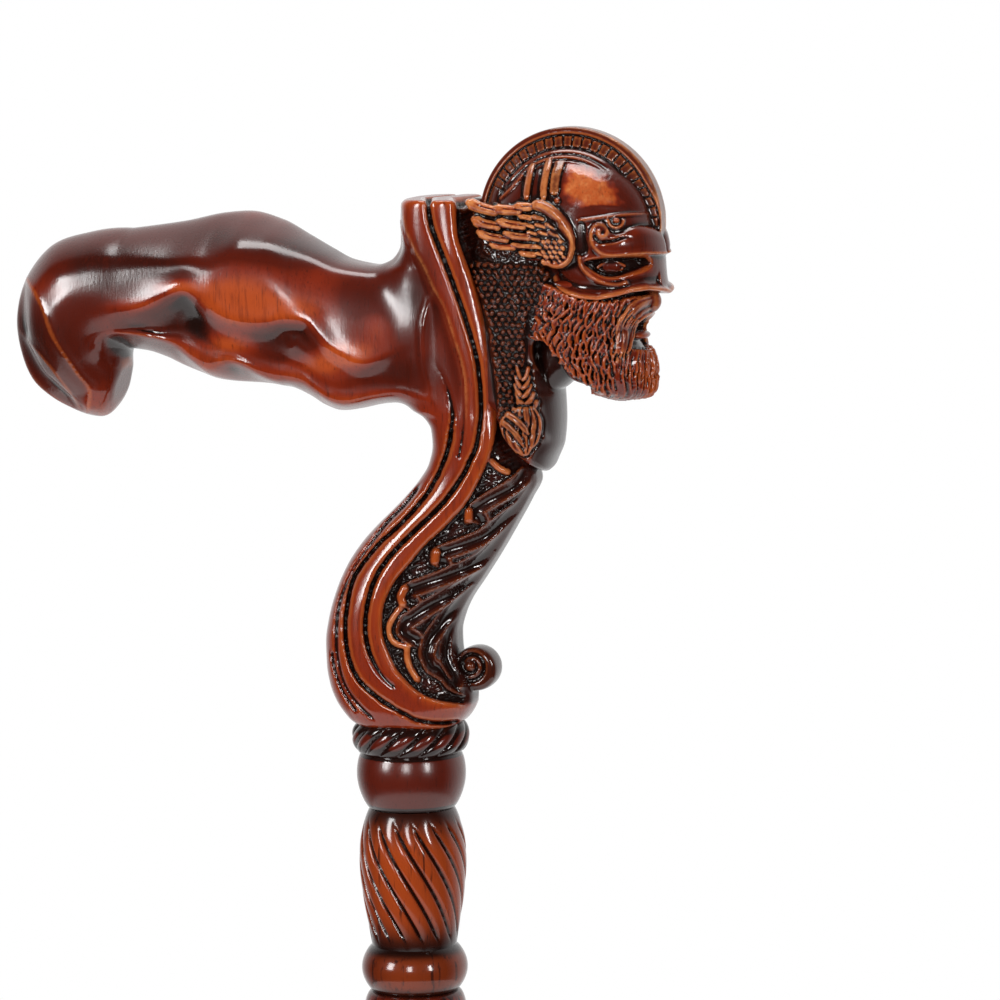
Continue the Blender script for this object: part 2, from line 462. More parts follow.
BRAID_STEPS = [
    (35.7, 857.4, 0.8), (35.6, 855.2, 0.9), (35.7, 853.0, 1.0), (36.2, 850.8, 1.1), (36.8, 848.6, 1.2),
]
TUFT_STRANDS = [
    ([(33.4, 848.0), (30.6, 845.6), (29.6, 842.6), (30.6, 839.6), (33.4, 836.9)], 1.05),
    ([(38.2, 848.6), (39.8, 845.8), (39.8, 842.8), (38.8, 840.0), (37.4, 837.8)], 0.95),
    ([(34.6, 848.2), (32.4, 845.4), (31.6, 842.2), (32.6, 839.0), (35.0, 836.5)], 1.1),
    ([(37.4, 848.4), (38.4, 845.4), (38.2, 842.4), (37.6, 839.4), (36.8, 836.8)], 1.05),
    ([(35.4, 848.2), (34.4, 845.2), (33.6, 842.2), (34.2, 839.0), (35.6, 836.4)], 1.15),
    ([(36.4, 848.2), (36.6, 845.0), (36.0, 842.0), (36.0, 839.0), (36.3, 836.6)], 1.1),
    ([(31.6, 846.9), (33.2, 845.9), (35.2, 844.2), (37.0, 842.0)], 1.15),
    ([(30.4, 844.6), (32.2, 843.2), (34.2, 841.0), (35.6, 838.6)], 1.0),
]
CHEST_FOLDS = [
    ([(38.6, 858.6), (38.9, 853.0), (39.8, 847.0), (40.2, 842.0)], 1.3, 1.0),
    ([(36.6, 833.6), (38.0, 837.6), (39.6, 839.8), (41.4, 841.0)], 1.1, 0.7),
]

# Beard: height, back, front and half width, its outline from the side, and lines that its locks follow
BEARD_LEVELS = [
    (849.2, 55.5, 61.2, 3.0), (850.8, 50.0, 64.6, 7.2), (853.6, 42.0, 66.6, 10.2),
    (857.6, 36.0, 67.0, 12.2), (861.6, 32.0, 66.0, 13.2), (865.6, 31.0, 63.6, 14.0),
    (868.0, 31.0, 63.2, 14.4), (870.0, 31.0, 64.2, 14.6), (872.0, 31.0, 65.4, 14.7),
    (876.0, 31.0, 66.0, 14.7), (880.0, 31.0, 63.0, 14.4), (882.0, 33.0, 60.0, 13.0),
]
BEARD_OUTLINE = [
    (41.0, 884.0), (38.6, 878.6), (36.6, 873.6), (36.2, 869.4), (37.6, 866.6), (41.0, 865.0), (44.0, 862.2),
    (46.4, 858.2), (48.8, 855.4), (54.0, 853.6), (58.0, 851.6), (62.0, 849.4), (66.0, 848.4), (84.0, 848.0),
    (84.0, 886.0), (50.0, 886.0),
]
BEARD_FLOW = [
    [(41.5, 882.0), (39.5, 878.0), (38.4, 874.5), (37.8, 871.0), (37.6, 867.6)],
    [(45.0, 880.0), (42.5, 876.0), (41.0, 872.5), (40.5, 869.0), (41.2, 865.6)],
    [(48.5, 878.4), (46.0, 874.5), (44.2, 870.5), (43.6, 866.5), (44.4, 862.4)],
    [(52.0, 877.4), (49.8, 873.0), (48.0, 868.5), (47.4, 863.5), (48.4, 857.6)],
    [(55.0, 877.2), (53.2, 872.5), (51.6, 867.5), (51.2, 861.5), (52.6, 854.6)],
    [(58.0, 877.0), (56.6, 872.0), (55.2, 866.5), (54.8, 860.0), (56.6, 852.8)],
    [(60.8, 877.4), (59.6, 871.5), (58.4, 866.0), (57.8, 859.0), (59.6, 851.4)],
    [(63.4, 878.0), (62.2, 872.5), (61.0, 867.0), (60.2, 859.5), (61.8, 851.0)],
    [(66.2, 878.6), (64.8, 873.5), (63.8, 868.0), (62.8, 860.0), (63.8, 850.6)],
]
CHIN_FLOW = [
    [(62.4, 867.6), (61.4, 864.4), (60.8, 860.6), (60.8, 856.4), (62.0, 850.8)],
    [(64.4, 864.6), (64.0, 861.6), (64.0, 858.0), (64.2, 854.6), (64.6, 850.4)],
    [(67.0, 864.4), (67.4, 861.4), (67.8, 858.0), (67.8, 854.6), (67.0, 850.6)],
    [(69.4, 864.2), (70.8, 861.2), (71.6, 858.0), (71.4, 854.6), (70.0, 851.0)],
    [(71.0, 864.0), (73.2, 860.8), (74.2, 857.6), (74.0, 854.4), (72.6, 851.4)],
]
MOUSTACHE_FLOW = [
    [(74.0, 879.6), (70.0, 879.2), (66.4, 877.8), (63.6, 875.4), (61.6, 871.6), (60.6, 867.4), (60.2, 862.8)],
    [(74.0, 878.0), (70.2, 877.6), (67.0, 876.4), (64.4, 874.0), (62.4, 870.4), (61.4, 866.4), (60.8, 862.0)],
    [(74.0, 876.6), (70.6, 876.0), (67.6, 874.8), (65.2, 872.6), (63.6, 869.6), (62.6, 866.6), (61.6, 863.0)],
    [(74.0, 875.2), (71.0, 874.6), (68.2, 873.2), (66.2, 871.0), (64.8, 868.4), (63.8, 866.0), (62.8, 863.4)],
]
MOUTH_HEIGHT = CHIN_BASE + 10.1
MOUTH = [(65.0, MOUTH_HEIGHT + 1.6), (73.4, MOUTH_HEIGHT + 1.6)]
LIP = ((63.4, 0, MOUTH_HEIGHT - 1.2), (2.4, 4.6, 1.15))
NOSE = ((65.6, 0, CHIN_BASE + 17.6), (3.4, 3.0, 3.2))

# Layers of locks: flow, count, half width, reach of the waves, lengths, lift
LOCKS = [
    (BEARD_FLOW, 40, 0.56, 0.60, 5, 0.0), (BEARD_FLOW, 34, 0.50, 0.75, 5, 0.0),
    (CHIN_FLOW, 18, 0.50, 0.15, 2, 0.0), (MOUSTACHE_FLOW, 11, 0.62, 0.12, 2, 0.7),
]

# Core of the bust behind the beard: height, back, front and half width
CORE_LEVELS = [(852.0, 36.0, 43.0, 7.0), (859.0, 36.0, 50.0, 9.0), (880.0, 36.0, 58.0, 10.0)]


def follow(outline, at):
    """Read a smooth curve through (place, value) points without overshoot."""
    places = np.array([point[0] for point in outline], dtype=float)
    values = np.array([point[1] for point in outline], dtype=float)
    steps = np.diff(places)
    slopes = np.diff(values) / steps
    tangents = np.concatenate(([slopes[0]], np.zeros(len(slopes) - 1), [slopes[-1]]))
    for index in range(1, len(slopes)):
        before, after = slopes[index - 1], slopes[index]
        if before * after > 0:
            tangents[index] = 2 * before * after / (before + after)
    at = np.clip(np.asarray(at, dtype=float), places[0], places[-1])
    span = np.clip(np.searchsorted(places, at) - 1, 0, len(steps) - 1)
    step = steps[span]
    share = (at - places[span]) / step
    rest = 1 - share
    return (
        values[span] * (1 + 2 * share) * rest ** 2
        + values[span + 1] * (3 - 2 * share) * share ** 2
        + tangents[span] * step * share * rest ** 2
        - tangents[span + 1] * step * rest * share ** 2
    )


def smooth_line(points, step=0.7, closed=False):
    """Smooth line through chosen points, with a point about every step."""
    points = np.array(points, dtype=float)
    if closed:
        points = np.vstack((points[-1:], points, points[:2]))
    else:
        points = np.vstack((2 * points[:1] - points[1:2], points, 2 * points[-1:] - points[-2:-1]))
    line = []
    for index in range(1, len(points) - 2):
        before, start, end, beyond = points[index - 1:index + 3]
        count = max(2, int(np.linalg.norm(end - start) / step))
        t = (np.arange(count) / count)[:, None]
        line.append(0.5 * (
            2 * start
            + (end - before) * t
            + (2 * before - 5 * start + 4 * end - beyond) * t ** 2
            + (3 * start - before - 3 * end + beyond) * t ** 3
        ))
    if not closed:
        line.append(points[-2:-1])
    return np.vstack(line)


def ease(value, low=0.0, high=1.0):
    """Smooth step from 0 at low to 1 at high."""
    t = np.clip((value - low) / (high - low), 0.0, 1.0)
    return t * t * (3 - 2 * t)


def speckle(u, v, size, seed):
    """Smooth random bumps between -1 and 1, about size apart."""
    table = np.random.default_rng(seed).uniform(-1, 1, (64, 64))
    a, b = u / size, v / size
    ia, ib = np.floor(a).astype(int), np.floor(b).astype(int)
    fa, fb = ease(a - ia), ease(b - ib)
    low = table[ia % 64, ib % 64] * (1 - fa) + table[(ia + 1) % 64, ib % 64] * fa
    high = table[ia % 64, (ib + 1) % 64] * (1 - fa) + table[(ia + 1) % 64, (ib + 1) % 64] * fa
    return low * (1 - fb) + high * fb


def read_table(table, a, b):
    """Values of a table at places given in samples, read between them."""
    ia = np.minimum(a.astype(np.int32), table.shape[0] - 2)
    ib = np.minimum(b.astype(np.int32), table.shape[1] - 2)
    fa, fb = (a - ia).astype(np.float32), (b - ib).astype(np.float32)
    return (
        table[ia, ib] * (1 - fa) * (1 - fb) + table[ia + 1, ib] * fa * (1 - fb)
        + table[ia, ib + 1] * (1 - fa) * fb + table[ia + 1, ib + 1] * fa * fb
    )


def raise_to(values, part, least):
    """Raise the values in a window to at least these."""
    values[part] = np.maximum(values[part], least)


def staggered(first, counts, pitch, row_pitch, jitter, random):
    """Places in staggered rows, each moved a little at random."""
    columns, rows = counts
    for row in range(rows):
        for column in range(columns):
            forward = first[0] + (column + 0.5 * (row % 2)) * pitch + random.uniform(-jitter, jitter)
            height = first[1] + row * row_pitch + random.uniform(-jitter, jitter)
            yield forward, height


def distances(u, v, line):
    """Distance of places to a line, on which side they are, and the share of the line passed."""
    best = np.full(u.shape, 1e9)
    side = np.zeros(u.shape)
    along = np.zeros(u.shape)
    lengths = np.linalg.norm(np.diff(line, axis=0), axis=1)
    starts = np.concatenate(([0.0], np.cumsum(lengths)))
    for index, length in enumerate(lengths):
        if length < 1e-6:
            continue
        (au, av), (bu, bv) = line[index], line[index + 1]
        du, dv = (bu - au) / length, (bv - av) / length
        t = np.clip((u - au) * du + (v - av) * dv, 0, length)
        distance = np.hypot(u - au - t * du, v - av - t * dv)
        closer = distance < best
        best[closer] = distance[closer]
        side[closer] = (du * (v - av) - dv * (u - au))[closer]
        along[closer] = (starts[index] + t)[closer]
    return best, side, along / starts[-1]


def within(u, v, ring):
    """Whether places lie inside a closed ring."""
    crossings = np.zeros(u.shape, dtype=int)
    for (au, av), (bu, bv) in zip(ring, ring[1:]):
        if av == bv:
            continue
        spans = (av <= v) != (bv <= v)
        crossings += spans & (u < au + (v - av) * (bu - au) / (bv - av))
    return crossings % 2 == 1


class Canvas:
    """A height map in mm over two directions, painted with lines, strokes and fills."""

    def __init__(self, low, high, step):
        self.low = np.array(low, dtype=float)
        self.step = step
        self.u = np.arange(low[0], high[0], step)
        self.v = np.arange(low[1], high[1], step)
        self.height = np.zeros((len(self.u), len(self.v)))

    def zeros(self):
        """A value of 0 for every sample."""
        return np.zeros(self.height.shape)

    def window(self, line, margin):
        """Part of the canvas round a line, with its places."""
        low = (line.min(0) - margin - self.low) / self.step
        high = (line.max(0) + margin - self.low) / self.step
        first = np.clip(low.astype(int), 0, self.height.shape)
        last = np.clip(high.astype(int) + 1, 0, self.height.shape)
        part = (slice(first[0], last[0]), slice(first[1], last[1]))
        u, v = np.meshgrid(self.u[part[0]], self.v[part[1]], indexing="ij")
        return part, u, v

    def whole(self):
        """Places of every sample."""
        return np.meshgrid(self.u, self.v, indexing="ij")

    def nearest(self, line, margin):
        """Window round a line, with the distance to it, its signed side and the share along."""
        part, u, v = self.window(line, margin)
        return part, *distances(u, v, line)

    def reach(self, points, margin=12.0):
        """Distance of every sample to a smooth line, where it is within the margin."""
        part, distance, _, _ = self.nearest(smooth_line(points), margin)
        full = np.full(self.height.shape, 99.0)
        full[part] = distance
        return full

    def signed(self, line, ring, margin):
        """Window round a ring with the distance to a line, positive inside the ring."""
        part, u, v = self.window(ring, margin)
        distance, _, _ = distances(u, v, line)
        return part, np.where(within(u, v, ring), distance, -distance)

    def below(self, edge, corners):
        """Window with the distance to an open edge, positive inside the shape its corners close."""
        line = smooth_line(edge)
        return self.signed(line, np.vstack((line, corners, line[:1])), 0.5)

    def inside(self, points, margin=2.0):
        """Window round a closed outline with its signed distance, positive inside."""
        line = smooth_line(points, closed=True)
        ring = np.vstack((line, line[:1]))
        return self.signed(ring, ring, margin)

    def groove(self, points, half_width, depth, edge=0.5, taper=(0.0, 0.0)):
        """Cut along a smooth line, which may taper over a share of its start and of its end."""
        part, distance, _, share = self.nearest(smooth_line(points), half_width + edge + 1)
        full = np.ones(share.shape)
        if taper[0]:
            full = full * ease(share, 0, taper[0])
        if taper[1]:
            full = full * ease(1 - share, 0, taper[1])
        self.height[part] -= depth * full * ease(half_width * full + edge - distance, 0, 2 * edge)

    def ridge(self, points, width, height):
        """Soft raised line."""
        part, distance, _, _ = self.nearest(smooth_line(points), 4 * width)
        self.height[part] += height * np.exp(-(distance / width) ** 2)

    def stroke(self, points, width, level, crown, shape=None, shadow=0.0, strands=0):
        """Rounded raised stroke painted over what lies below; shape gives its width along."""
        line = smooth_line(points)
        part, distance, side, share = self.nearest(line, width + 1.5)
        wide = width * (shape(share) if shape else np.ones(share.shape))
        reach = distance / np.maximum(wide, 0.05)
        surface = level + crown * np.sqrt(np.clip(1 - reach ** 2, 0, 1))
        if strands:
            surface -= 0.22 * crown * (0.5 + 0.5 * np.cos(side / wide * math.pi * strands))
        if shadow:
            self.height[part] -= shadow * ease(wide + 0.8 - distance, 0, 0.8)
        height = self.height[part]
        self.height[part] = np.where(reach < 1, np.maximum(surface, height), height)

    def near(self, line, reach, fade):
        """Window round a line, with 1 on the line and 0 from its reach outwards."""
        part, distance, _, _ = self.nearest(smooth_line(line), 3)
        return part, ease(reach - distance, 0, fade)

    def read(self, u, v, values=None):
        """Heights at places, or other values, read between the samples."""
        a = np.clip((u - self.low[0]) / self.step, 0, self.height.shape[0] - 1.001)
        b = np.clip((v - self.low[1]) / self.step, 0, self.height.shape[1] - 1.001)
        values = self.height if values is None else values
        return read_table(values.astype(np.float32), a, b)


class Block:
    """Box of field samples, in mm, whose spacing may differ along each axis."""

    def __init__(self, forward, side, height, base=0.0):
        self.axes = [np.asarray(axis, dtype=np.float32) for axis in (forward, side, height)]
        self.base = base
        self.x = self.axes[0][:, None, None]
        self.y = self.axes[1][None, :, None]
        self.z = self.axes[2][None, None, :]

    def even(self, field, limit=4.0):
        """Turn a field into distances near the skin by dividing by its own slope."""
        slopes = np.gradient(field, *self.axes)
        steep = np.sqrt(sum(slope * slope for slope in slopes))
        return np.clip(field / np.maximum(steep, 0.05), -limit, limit).astype(np.float32)

    def over_height(self, *curves):
        """Curves read at the heights of the samples."""
        return [follow(curve, self.axes[2]).astype(np.float32) for curve in curves]

    def mirrored(self):
        """The block with its other half added."""
        sides = np.concatenate((-self.axes[1][::-1], self.axes[1]))
        return Block(self.axes[0], sides, self.axes[2], self.base)


def blur(field, reach):
    """Mean of the samples within reach along each axis, twice."""
    for axis in range(3):
        for _ in range(2):
            padded = np.concatenate((
                np.repeat(field.take([0], axis), reach + 1, axis), field,
                np.repeat(field.take([-1], axis), reach, axis),
            ), axis)
            total = np.cumsum(padded, axis, dtype=np.float64)
            count = field.shape[axis]
            upper = total.take(range(2 * reach + 1, 2 * reach + 1 + count), axis)
            lower = total.take(range(0, count), axis)
            field = ((upper - lower) / (2 * reach + 1)).astype(np.float32)
    return field


def soft_union(a, b, radius):
    """Inside of either field, with a rounded inner corner."""
    overlap = np.maximum(radius - np.abs(a - b), 0)
    return np.minimum(a, b) - overlap * overlap / (4 * radius)


def soft_cut(a, b, radius):
    """Inside of both fields, with a rounded edge."""
    overlap = np.maximum(radius - np.abs(a - b), 0)
    return np.maximum(a, b) + overlap * overlap / (4 * radius)


def skin(field):
    """Quads where the field crosses zero, with corners in sample units, facing outwards."""
    shape = np.array(field.shape)
    strides = np.array([shape[1] * shape[2], shape[2], 1])
    cells, places, rings, flips = [], [], [], []
    for axis in range(3):
        low = [slice(None)] * 3
        high = [slice(None)] * 3
        low[axis] = slice(0, -1)
        high[axis] = slice(1, None)
        a, b = field[tuple(low)], field[tuple(high)]
        index = np.argwhere((a < 0) != (b < 0))
        first, second = [other for other in range(3) if other != axis]
        if axis == 1:
            first, second = second, first
        index = index[(index[:, first] > 0) & (index[:, second] > 0)]
        start = a[tuple(index.T)]
        end = b[tuple(index.T)]
        place = index.astype(np.float64)
        place[:, axis] += start / (start - end)
        corners = []
        for step_first, step_second in ((1, 1), (0, 1), (0, 0), (1, 0)):
            corner = index.copy()
            corner[:, first] -= step_first
            corner[:, second] -= step_second
            corners.append(corner @ strides)
            cells.append(corners[-1])
            places.append(place)
        rings.append(np.stack(corners, 1))
        flips.append(start > 0)
    cells = np.concatenate(cells)
    places = np.concatenate(places)
    names, back = np.unique(cells, return_inverse=True)
    counts = np.bincount(back)
    corners = np.stack([np.bincount(back, places[:, axis]) / counts for axis in range(3)], 1)
    quads = np.searchsorted(names, np.concatenate(rings))
    flip = np.concatenate(flips)
    quads[flip] = quads[flip][:, ::-1]
    return corners, quads


def read_block(field, corners):
    """Field value at corners given in sample units."""
    limit = np.array(field.shape) - 1.001
    place = np.clip(corners, 0, limit)
    base = place.astype(int)
    f = place - base
    value = 0
    for step in range(8):
        offset = np.array([step >> 2 & 1, step >> 1 & 1, step & 1])
        weight = np.prod(np.where(offset, f, 1 - f), axis=1)
        at = base + offset
        value = value + weight * field[at[:, 0], at[:, 1], at[:, 2]]
    return value


def mesh_object(name, corners, faces, smooth=True):
    """Mesh of faces that all have the same number of sides, placed in the scene."""
    mesh = bpy.data.meshes.new(name)
    faces = np.asarray(faces, dtype=np.int32)
    sides = faces.shape[1]
    mesh.vertices.add(len(corners))
    mesh.vertices.foreach_set("co", np.asarray(corners, dtype=np.float32).ravel())
    mesh.loops.add(faces.size)
    mesh.loops.foreach_set("vertex_index", faces.ravel())
    mesh.polygons.add(len(faces))
    mesh.polygons.foreach_set("loop_start", np.arange(0, faces.size, sides, dtype=np.int32))
    mesh.polygons.foreach_set("use_smooth", np.full(len(faces), smooth))
    mesh.update(calc_edges=True)
    mesh.validate()
    obj = bpy.data.objects.new(name, mesh)
    bpy.context.scene.collection.objects.link(obj)
    return obj


def paint(obj, name, values):
    """Store one number per corner for the materials to read."""
    layer = obj.data.attributes.new(name, "FLOAT", "POINT")
    layer.data.foreach_set("value", np.asarray(values, dtype=np.float32))


def to_world(corners, block):
    """Corners in sample units to metres."""
    world = np.stack([
        np.interp(corners[:, axis], np.arange(len(block.axes[axis])), block.axes[axis])
        for axis in range(3)
    ], 1)
    world[:, 2] += block.base
    return world * MM


def seen(x, y, z, level):
    """Forward and height at which the main camera sees places, on an upright plane at a level."""
    x, y, z = x - SEEN_MIDDLE[0], np.abs(y), z - SEEN_MIDDLE[1]
    right = SEEN_RIGHT[0] * x + SEEN_RIGHT[1] * y
    up = SEEN_UP[2] * z + SEEN_UP[0] * x + SEEN_UP[1] * y
    nearer = SEEN_NEARER[0] * x + SEEN_NEARER[1] * y + SEEN_NEARER[2] * z
    scale = SEEN_FROM / (SEEN_FROM - nearer)
    u = (right * scale - SEEN_RIGHT[1] * level) / SEEN_RIGHT[0]
    v = (up * scale - SEEN_UP[0] * u - SEEN_UP[1] * level) / SEEN_UP[2]
    return u + SEEN_MIDDLE[0], v + SEEN_MIDDLE[1]


def side_view(block, level):
    """Places of a block as the main camera sees them, on both sides alike."""
    u, v = seen(block.x, block.y, block.z + block.base, level)
    return u.astype(np.float32), (v - block.base).astype(np.float32)


# The neck and grip


def oval_field(block, curves, squareness, size):
    """Upright rounded solid from curves of its back, front and half width over the height."""
    back, front, width = block.over_height(*curves)
    reach = np.abs(block.x - (back + front) / 2) / ((front - back) / 2)
    across = np.abs(block.y) / width
    total = (reach ** squareness + across ** squareness) ** (1 / squareness)
    return block.even((total - 1) * size, 8.0)


def neck_field(block):
    """The neck before it is carved."""
    field = oval_field(block, (NECK_BACK, NECK_FRONT, NECK_HALF_WIDTH), NECK_SQUARENESS, 15)
    field = soft_cut(field, NECK_BACK[0][0] - block.z, 2.0)
    return soft_cut(field, block.z - NECK_BACK[-1][0], 1.2)


def grip_table(paths, turns):
    """Radius of the grip's section round its middle, by distance along and by angle."""
    table = np.zeros((len(paths), len(turns)), dtype=np.float32)
    for row, path in enumerate(paths):
        low, high = grip_edges(path)
        ring = []
        for line in GRIP_LINES:
            share = float(follow([(p, s) for p, s, _ in line], path))
            side = float(follow([(p, w) for p, _, w in line], path))
            ring.append((side, (share - 0.5) * (high - low)))
        ring = smooth_line(ring, 0.5, closed=True)
        angle = np.arctan2(ring[:, 1], ring[:, 0])
        radius = np.hypot(ring[:, 0], ring[:, 1])
        order = np.argsort(angle)
        table[row] = np.interp(turns, angle[order], radius[order], period=2 * math.pi)
    return table


def grip_edges(path):
    """Inner and outer edge of the section: heights over the pivot on the grip, radii on the pommel."""
    pivot = GRIP_UNDERSIDE[-1][1] - POMMEL_INNER_RADIUS
    if path <= GRIP_LENGTH:
        return float(follow(GRIP_UNDERSIDE, path)) - pivot, float(follow(GRIP_TOP, path)) - pivot
    swept = (path - GRIP_LENGTH) / POMMEL_PATH * POMMEL_TURN
    start = GRIP_TOP[-1][1] - GRIP_UNDERSIDE[-1][1] + POMMEL_INNER_RADIUS
    return POMMEL_INNER_RADIUS, float(follow([(0, start)] + POMMEL_OUTER, swept))


def grip_field(block):
    """Grip and pommel, swept along the grip and round the pommel's curl."""
    x, z = np.meshgrid(block.axes[0], block.axes[2], indexing="ij")
    pivot_x = -GRIP_LENGTH
    pivot_z = GRIP_UNDERSIDE[-1][1] - POMMEL_INNER_RADIUS
    swept = np.degrees(np.arctan2(pivot_x - x, z - pivot_z)) % 360
    swept = np.minimum(swept, 240)
    on_grip = x >= pivot_x
    path = np.where(on_grip, -x, GRIP_LENGTH + swept / POMMEL_TURN * POMMEL_PATH)
    height = np.where(on_grip, z - pivot_z, np.hypot(x - pivot_x, z - pivot_z))
    beyond = np.where(on_grip, -50.0, np.radians(swept - POMMEL_TURN) * height)
    end = GRIP_LENGTH + POMMEL_PATH
    path = np.clip(path, GRIP_ROOT, end)
    paths = np.linspace(GRIP_ROOT, end, GRIP_SECTIONS)
    turns = np.linspace(-math.pi, math.pi, GRIP_TURNS)
    table = grip_table(paths, turns)
    edges = np.array([grip_edges(p) for p in paths])
    middle = np.interp(path, paths, edges.mean(1)).astype(np.float32)
    along = ((path - GRIP_ROOT) / (end - GRIP_ROOT) * (len(paths) - 1)).astype(np.float32)[:, None, :]
    up = (height - middle).astype(np.float32)[:, None, :]
    angle = (np.arctan2(up, block.y) + math.pi) / (2 * math.pi) * (len(turns) - 1)
    radius = read_table(table, along, angle)
    field = block.even(np.hypot(up, block.y) - radius, 8.0)
    field = soft_cut(field, beyond.astype(np.float32)[:, None, :] + 0.4, 3.0)
    return np.maximum(field, block.x + GRIP_ROOT)


def paint_neck(canvas):
    """Bands, grooves, flutes and leaves of the neck; returns the dark panel and the light places."""
    u, v = canvas.whole()
    edge_line, middle_line = (smooth_line(line)[::-1] for line in (BAND_FRONT, MIDDLE_GROOVE))
    to_edge = canvas.reach(BAND_FRONT)
    to_middle = canvas.reach(MIDDLE_GROOVE)
    to_groove = canvas.reach(BACK_GROOVE) + OUT_OF_REACH * (v > BACK_GROOVE_TOP)
    to_collar = canvas.reach(COLLAR_EDGE) + OUT_OF_REACH * (v < COLLAR_FOOT)
    to_back = np.minimum(to_groove, to_collar)
    edge_u = np.interp(v, edge_line[:, 1], edge_line[:, 0])
    middle_u = np.interp(v, middle_line[:, 1], middle_line[:, 0])
    panel = ease(np.where(u > edge_u, to_edge, -to_edge), -0.15, 0.5) * ease(v, 5.5, 7.5)
    bands = ((to_edge, (u > middle_u) & (u < edge_u)), (to_back, u <= middle_u))
    for other, held in bands:
        share = to_middle / (to_middle + other + 0.01)
        canvas.height -= np.where(held & (to_middle < 8), BAND_CROWN * np.abs(2 * share - 1) ** 5, 0)
    light = paint_leaves(canvas, panel)
    paint_collar(canvas, light)
    for line in BACK_FLUTES:
        canvas.groove(line, 0.35, 1.0, 0.5, (0.06, 0.04))
    canvas.groove(MIDDLE_GROOVE, 0.52, 1.5, 0.4, (0.0, 0.10))
    canvas.groove(BACK_GROOVE, 0.45, 1.4, 0.4, (0.22, 0.0))
    from_groove = np.minimum(canvas.reach(MIDDLE_GROOVE[:-3], 2), canvas.reach(BACK_GROOVE[4:-2], 2))
    canvas.height += ease(1.0 - from_groove, 0, 0.4) * 0.30 * speckle(u, v, 0.7, 3)
    return panel, light


def paint_leaves(canvas, panel):
    """Overlapping leaves, each with hollow flutes below its crest, then their thumbs and light strips."""
    u, v = canvas.whole()
    light = canvas.zeros()
    hatch = 0.22 * np.cos((v * 0.93 - u * 0.37) * 2 * math.pi / HATCH_WAVE) + 0.2 * speckle(u, v, 0.7, 8)
    leaves = LEAF_GROUND + hatch
    for edge, corners in LEAVES:
        part, depth = canvas.below(edge, corners)
        wave = np.abs(np.sin(math.pi * np.clip(depth, 0, 2 * LEAF_FLUTE) / LEAF_FLUTE))
        channel = -1.3 + 1.05 * (1.0 - 1.9 * wave ** 0.8)
        share = ease(depth, -0.1, 0.25)
        leaves[part] = leaves[part] * (1 - share) + channel * share
    before_edge = ease(follow(NECK_FRONT, v[0])[None, :] + 4.2 - u, 0, 4.5)
    leaves = leaves * before_edge - 0.9 * (1 - before_edge)
    canvas.height += panel * leaves
    for line in LEAF_THUMBS:
        canvas.stroke(line, 1.25, -1.2, 1.1)
        part, on = canvas.near(line, 1.5, 0.6)
        panel[part] *= 1 - 0.6 * on
    for line in LEAF_STRIPS:
        canvas.stroke(line, 0.95, -2.4, 1.2)
        part, on = canvas.near(line, 1.2, 0.5)
        panel[part] *= 1 - on
        raise_to(light, part, 0.45 * on)
    return light


def paint_collar(canvas, light):
    """Hollow between the collar's back edge and the grip."""
    part, distance, side, share = canvas.nearest(smooth_line(COLLAR_EDGE), 9)
    fade = ease(1 - share, 0, 0.25)
    drop = 1.5 * (1 - np.exp(-distance / 1.2)) * np.exp(-(distance / 8) ** 2)
    canvas.height[part] -= np.where(side < 0, drop * fade, 0)
    canvas.height[part] += 0.25 * fade * np.exp(-(distance / 0.8) ** 2)
    raise_to(light, part, 0.4 * fade * ease(1.1 - distance, 0, 0.8))


def paint_grip(canvas):
    """Creases of the finger side and the facets of the pommel."""
    for line, drop, reach, lift in ((FINGER_RIDGE, 1.9, 6.5, 0.5), (LOWER_RIDGE, 0.5, 4.0, 0.2)):
        part, distance, side, share = canvas.nearest(smooth_line(line), 14)
        fade = ease(share, 0, 0.25) * ease(1 - share, 0, 0.2)
        step = -drop * (1 - np.exp(-(distance / 2.6) ** 2)) * np.exp(-(distance / reach) ** 2)
        canvas.height[part] += fade * (np.where(side > 0, step, 0) + lift * np.exp(-(distance / 3.0) ** 2))
    for line in POMMEL_CREASES:
        part, distance, side, _ = canvas.nearest(smooth_line(line), 14)
        canvas.height[part] -= np.where(side < 0, 0.42 * np.minimum(distance, 6), 0)
        canvas.height[part] += 0.25 * np.exp(-(distance / 0.7) ** 2)


def paint_stain(canvas):
    """Where the stain is rubbed in deeper, below 0, or wiped off, above 0."""
    u, v = canvas.whole()
    for forward, height, wide, high, strength in STAIN:
        canvas.height += strength * np.exp(-((u - forward) / wide) ** 2 - ((v - height) / high) ** 2)


def paint_thumb_side(canvas):
    """Thumb hollow, the two ridges round it and a row of short cuts."""
    part, depth = canvas.inside(THUMB_HOLLOW, 6)
    canvas.height[part] -= 1.1 * ease(depth, -0.5, 7.0)
    for line, drop in ((THUMB_RIDGE, 1.0), (TOP_RIDGE, 0.8)):
        part, distance, side, share = canvas.nearest(smooth_line(line), 9)
        fade = ease(share, 0, 0.12) * ease(1 - share, 0, 0.12)
        step = -drop * (1 - np.exp(-distance / 0.9)) * np.exp(-(distance / 5.0) ** 2)
        canvas.height[part] += fade * (np.where(side > 0, step, 0) + 0.35 * np.exp(-(distance / 1.2) ** 2))
    for index in range(HATCH_COUNT):
        forward = HATCH_START - HATCH_PITCH * index
        canvas.groove([(forward, 99.5), (forward - 4.5, 107.5)], 0.30, 0.45, 0.4, (0.3, 0.3))


